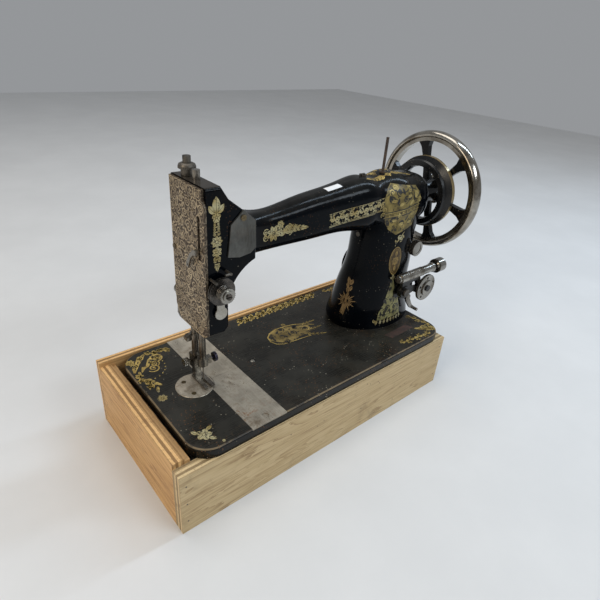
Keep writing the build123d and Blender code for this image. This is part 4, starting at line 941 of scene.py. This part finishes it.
def bed_ornament():
    """Back border, centre cartouche and corner pieces on the bed."""
    t = Transfer("gold_bed_border", "bed", (34, 80, 0),
                 right=(1, 0.02, 0), up=(-0.02, 1, 0), look=(0, 0, -1))
    t.vine((-66, -1), (70, 0), 11.5, 15, 2.6)
    for i in range(27):
        t.leaf(-66 + 5 * i, -4.2, 215 - 40 * (i % 2), 5.0, 2.6, 0.9, False)
        t.leaf(-65 + 5 * i, 2.2, 30 + 60 * (i % 2), 5.4, 2.8, 0.9, False)
    t.finish(RICH)
    t = Transfer("gold_bed_border_right", "bed", (150, 80, 0), **DOWN)
    t.vine((-30, 0), (18, -1), 10.0, 6, 2.0)
    t.finish(RICH)

    t = Transfer("gold_cartouche", "bed", (8, 19, 0), **DOWN)
    path, halves = [], []
    for i in range(15):
        r = i / 14
        path.append((-31 + 62 * r, 3.5 + 3.0 * r - 9.5 * r * r))
        swell = 17.0 * (1 - abs(1 - 2.7 * r) ** 2) if r < 0.37 else 17.0 - 16 * (r - 0.37)
        halves.append(max(0.8, swell))
    t.ribbon(path, halves)
    t.finish(gold("gold_field", (0.36, 0.26, 0.085), (0.15, 0.105, 0.030), 0.465, 0.25, 120))
    t = Transfer("ink_cartouche", "bed", (8, 19, 0), lift=0.15, **DOWN)
    t.scrolls(1.4, 1.9, ((-20, 4, 60, 4.6, 1), (-12, -6, -20, 4.4, -1), (-4, 10, 0, 4.2, 1),
                         (6, -4, 10, 4.6, 1), (16, 6, 200, 4.0, -1), (24, -3, -10, 3.4, 1)))
    t.leaves(7.5, 2.8, 1.2, False, ((-25, -3, 80), (-15, 10, 30), (-2, -3, 70), (10, 8, 20),
                                    (20, -6, -30), (-8, 2, 160)))
    t.finish(INK)
    t = Transfer("gold_cartouche_rim", "bed", (8, 19, 0), lift=0.15, **DOWN)
    rim = [(-31, 0), (-29, 9), (-21, 15.5), (-9, 18.5), (5, 18), (18, 15), (31, 8), (40, 0)]
    t.ribbon(rim, 0.7)
    t.ribbon([(-31, 0), (-28, -8), (-20, -13), (-10, -14), (4, -15), (20, -17)], 0.6)
    t.spray(16, -10, -38, 22, 4, 7, 1.6, 3)
    t.spray(22, -4, -12, 20, 4, 6, 1.4, 2)
    t.spray(26, 8, 10, 16, 3, 6, 1.6, -2)
    t.scroll(6, 19, 20, 3.0, 1.2, 1.0, 1)
    t.finish(RICH)

    t = Transfer("gold_corner_back_left", "bed", (-160, 66, 0), **DOWN)
    t.ribbon([(-20, -12), (-16, -3), (-12, 1), (-5, 9), (3, 15)], [1.0, 3.4, 2.6, 3.6, 0.8])
    t.ribbon([(-13, -15), (-8, -8), (-4, -8), (3, 1), (10, 8)], [0.6, 2.4, 1.8, 2.8, 0.6])
    t.scroll(-19, 1, 60, 4.0, 1.4, 1.3, -1)
    t.scroll(-3, 13, 150, 3.6, 1.4, 1.3, 1)
    t.scroll(5, -13, 0, 5.5, 1.6, 1.5, 1)
    t.leaf(-15, -12, 250, 7, 3.0, 1.4)
    t.leaf(0, -2, -60, 7, 2.8, 1.2)
    t.leaf(8, 2, 330, 6, 2.6, -1.0)
    t.vine((2, 14), (31, 9), 10, 4, 1.9)
    t.vine((-21, -16), (-13, -45), 11, 4, 1.9)
    t.scroll(6, -4, -40, 7.5, 1.6, 1.8, 1)
    t.scroll(-6, -17, -70, 7.0, 1.6, 1.8, 1)
    t.scroll(12, 6, 0, 4.5, 1.3, 1.5, -1)
    for i in range(10):
        a = math.radians(-85 + 15 * i)
        t.dot(-8 + 22 * math.cos(a), -10 + 22 * math.sin(a), 0.8)
    t.spray(-16, -26, -70, 16, 3, 7, 3.2, 2)
    t.spray(8, 12, 5, 16, 3, 6, 3.0, -1)
    t.rosette(-17, 8, 5.5, 7)
    t.leaf(-12, -38, 200, 8, 3.2, 2)
    t.leaf(-10, -46, 250, 8, 3.4, -1)
    t.finish(RICH)
    t = Transfer("ink_corner_back_left", "bed", (-160, 66, 0), lift=0.15, **DOWN)
    t.scrolls(1.3, 0.9, ((-15, -3, 60, 2.6, 1), (-7, 6, 40, 2.4, -1), (-6, -8, 30, 2.0, 1),
                         (2, 1, 50, 2.0, -1)))
    t.leaves(5.0, 1.2, 0.5, False, ((-18, -8, 60), (-11, 2, 50), (-2, 11, 35), (-1, -4, 45),
                                    (6, 4, 40)))
    t.finish(INK)
    t = Transfer("gold_corner_front_left", "bed", (-166, -67, 0), **DOWN)
    t.rosette(0, 0, 7.5, 5, 50)
    t.leaf(5, 4, 20, 7, 4)
    t.leaf(-5, 4, 120, 7, 4)
    t.leaf(2, -6, -40, 8, 4)
    t.dot(11, -17, 1.6)
    t.rosette(-8, 68, 5.5, 7)
    t.leaf(-7, 78, 80, 7, 2.4)
    t.finish(PALE_GOLD)
    t = Transfer("gold_corner_front_right", "bed", (160, -62, 0), **DOWN)
    t.vine((-49, -14), (4, -20), 11, 7, 1.5)
    t.vine((20, -8), (12, 26), 11, 5, 1.4)
    t.scroll(9, -14, 30, 6.5, 1.5, 1.6, 1)
    t.spray(14, -17, 135, 18, 4, 8, 3.4, 2)
    t.rosette(15, -14, 6, 8)
    t.finish(RICH)
    t = Transfer("gold_corner_back_right", "bed", (160, 62, 0), **DOWN)
    t.vine((20, 8), (13, -24), 11, 5, 1.4)
    t.rosette(15, 12, 6, 8)
    t.spray(12, 8, 215, 18, 4, 8, 3.4, -2)
    t.finish(RICH)
    t = Transfer("worn_patch", "bed", (131, -56, 0),
                 right=(0.995, 0.03, 0), up=(-0.35, 0.94, 0), look=(0, 0, -1))
    t.ribbon([(-22 + 4 * i, 0) for i in range(12)], 5.6)
    t.finish(plain("worn_red", (0.030, 0.020, 0.016), (0.085, 0.040, 0.028), 110, 0.5))


head_strip()
face_scrolls()
arm_ornament()
arm_top()
pillar_front()
pillar_side()
bed_ornament()


# ------------------------------------------------------------------ small pieces
LABEL_LENGTH, LABEL_WIDTH, LABEL_THICKNESS = 20.6, 8.4, 0.12       # mm
OIL_CAP_CENTRE = (-63, 1, -0.2)                                    # head frame, mm


def label():
    """Blank paper sticker on the arm's top."""
    t = Transfer("blank_label", "arm_casting", (33, -4.2, 192),
                 right=(0.99, -0.02, 0.0), up=(0.05, 0.99, 0), look=(0, 0, -1), lift=0.18)
    t.ribbon([(-LABEL_LENGTH / 2 + LABEL_LENGTH / 10 * i, 0) for i in range(11)], LABEL_WIDTH / 2)
    piece = t.finish(plain("paper", (0.74, 0.75, 0.76), (0.84, 0.85, 0.85), 90, 0.6))
    solid = piece.modifiers.new("thickness", "SOLIDIFY")
    solid.thickness = LABEL_THICKNESS * MM


def oil_cap():
    """Domed steel button in the bed's oil hole."""
    rings = [(0.0, 0.15), (1.0, 0.12), (2.0, -0.02), (2.7, -0.25), (2.85, -0.6), (2.85, -1.6)]
    sides = 28
    mesh = bpy.data.meshes.new("oil_cap")
    cx, cy, cz = OIL_CAP_CENTRE
    points, faces = [], []
    for r, z in rings:
        for i in range(sides):
            a = 2 * math.pi * i / sides
            points.append(tuple(head(cx + r * math.cos(a), cy + r * math.sin(a), cz + z)))
    for k in range(len(rings) - 1):
        for i in range(sides):
            j = (i + 1) % sides
            faces.append((k * sides + i, (k + 1) * sides + i, (k + 1) * sides + j, k * sides + j))
    mesh.from_pydata(points, [], faces)
    mesh.validate()
    mesh.materials.append(PALE_NICKEL)
    for polygon in mesh.polygons:
        polygon.use_smooth = True
    piece = bpy.data.objects.new("oil_cap", mesh)
    scene.collection.objects.link(piece)
    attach(piece, "machine")


label()
oil_cap()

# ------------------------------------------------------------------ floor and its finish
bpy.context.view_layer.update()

floor = bpy.data.meshes.new("floor")
corners = [(u * FLOOR_HALF, v * FLOOR_HALF, 0) for u, v in ((-1, -1), (1, -1), (1, 1), (-1, 1))]
floor.from_pydata(corners, [], [(0, 1, 2, 3)])
floor.materials.append(
    plain("floor_paper", (0.66, 0.66, 0.655), (0.70, 0.70, 0.695), 6, 0.8, bump=0.05))
floor_object = bpy.data.objects.new("floor", floor)
scene.collection.objects.link(floor_object)
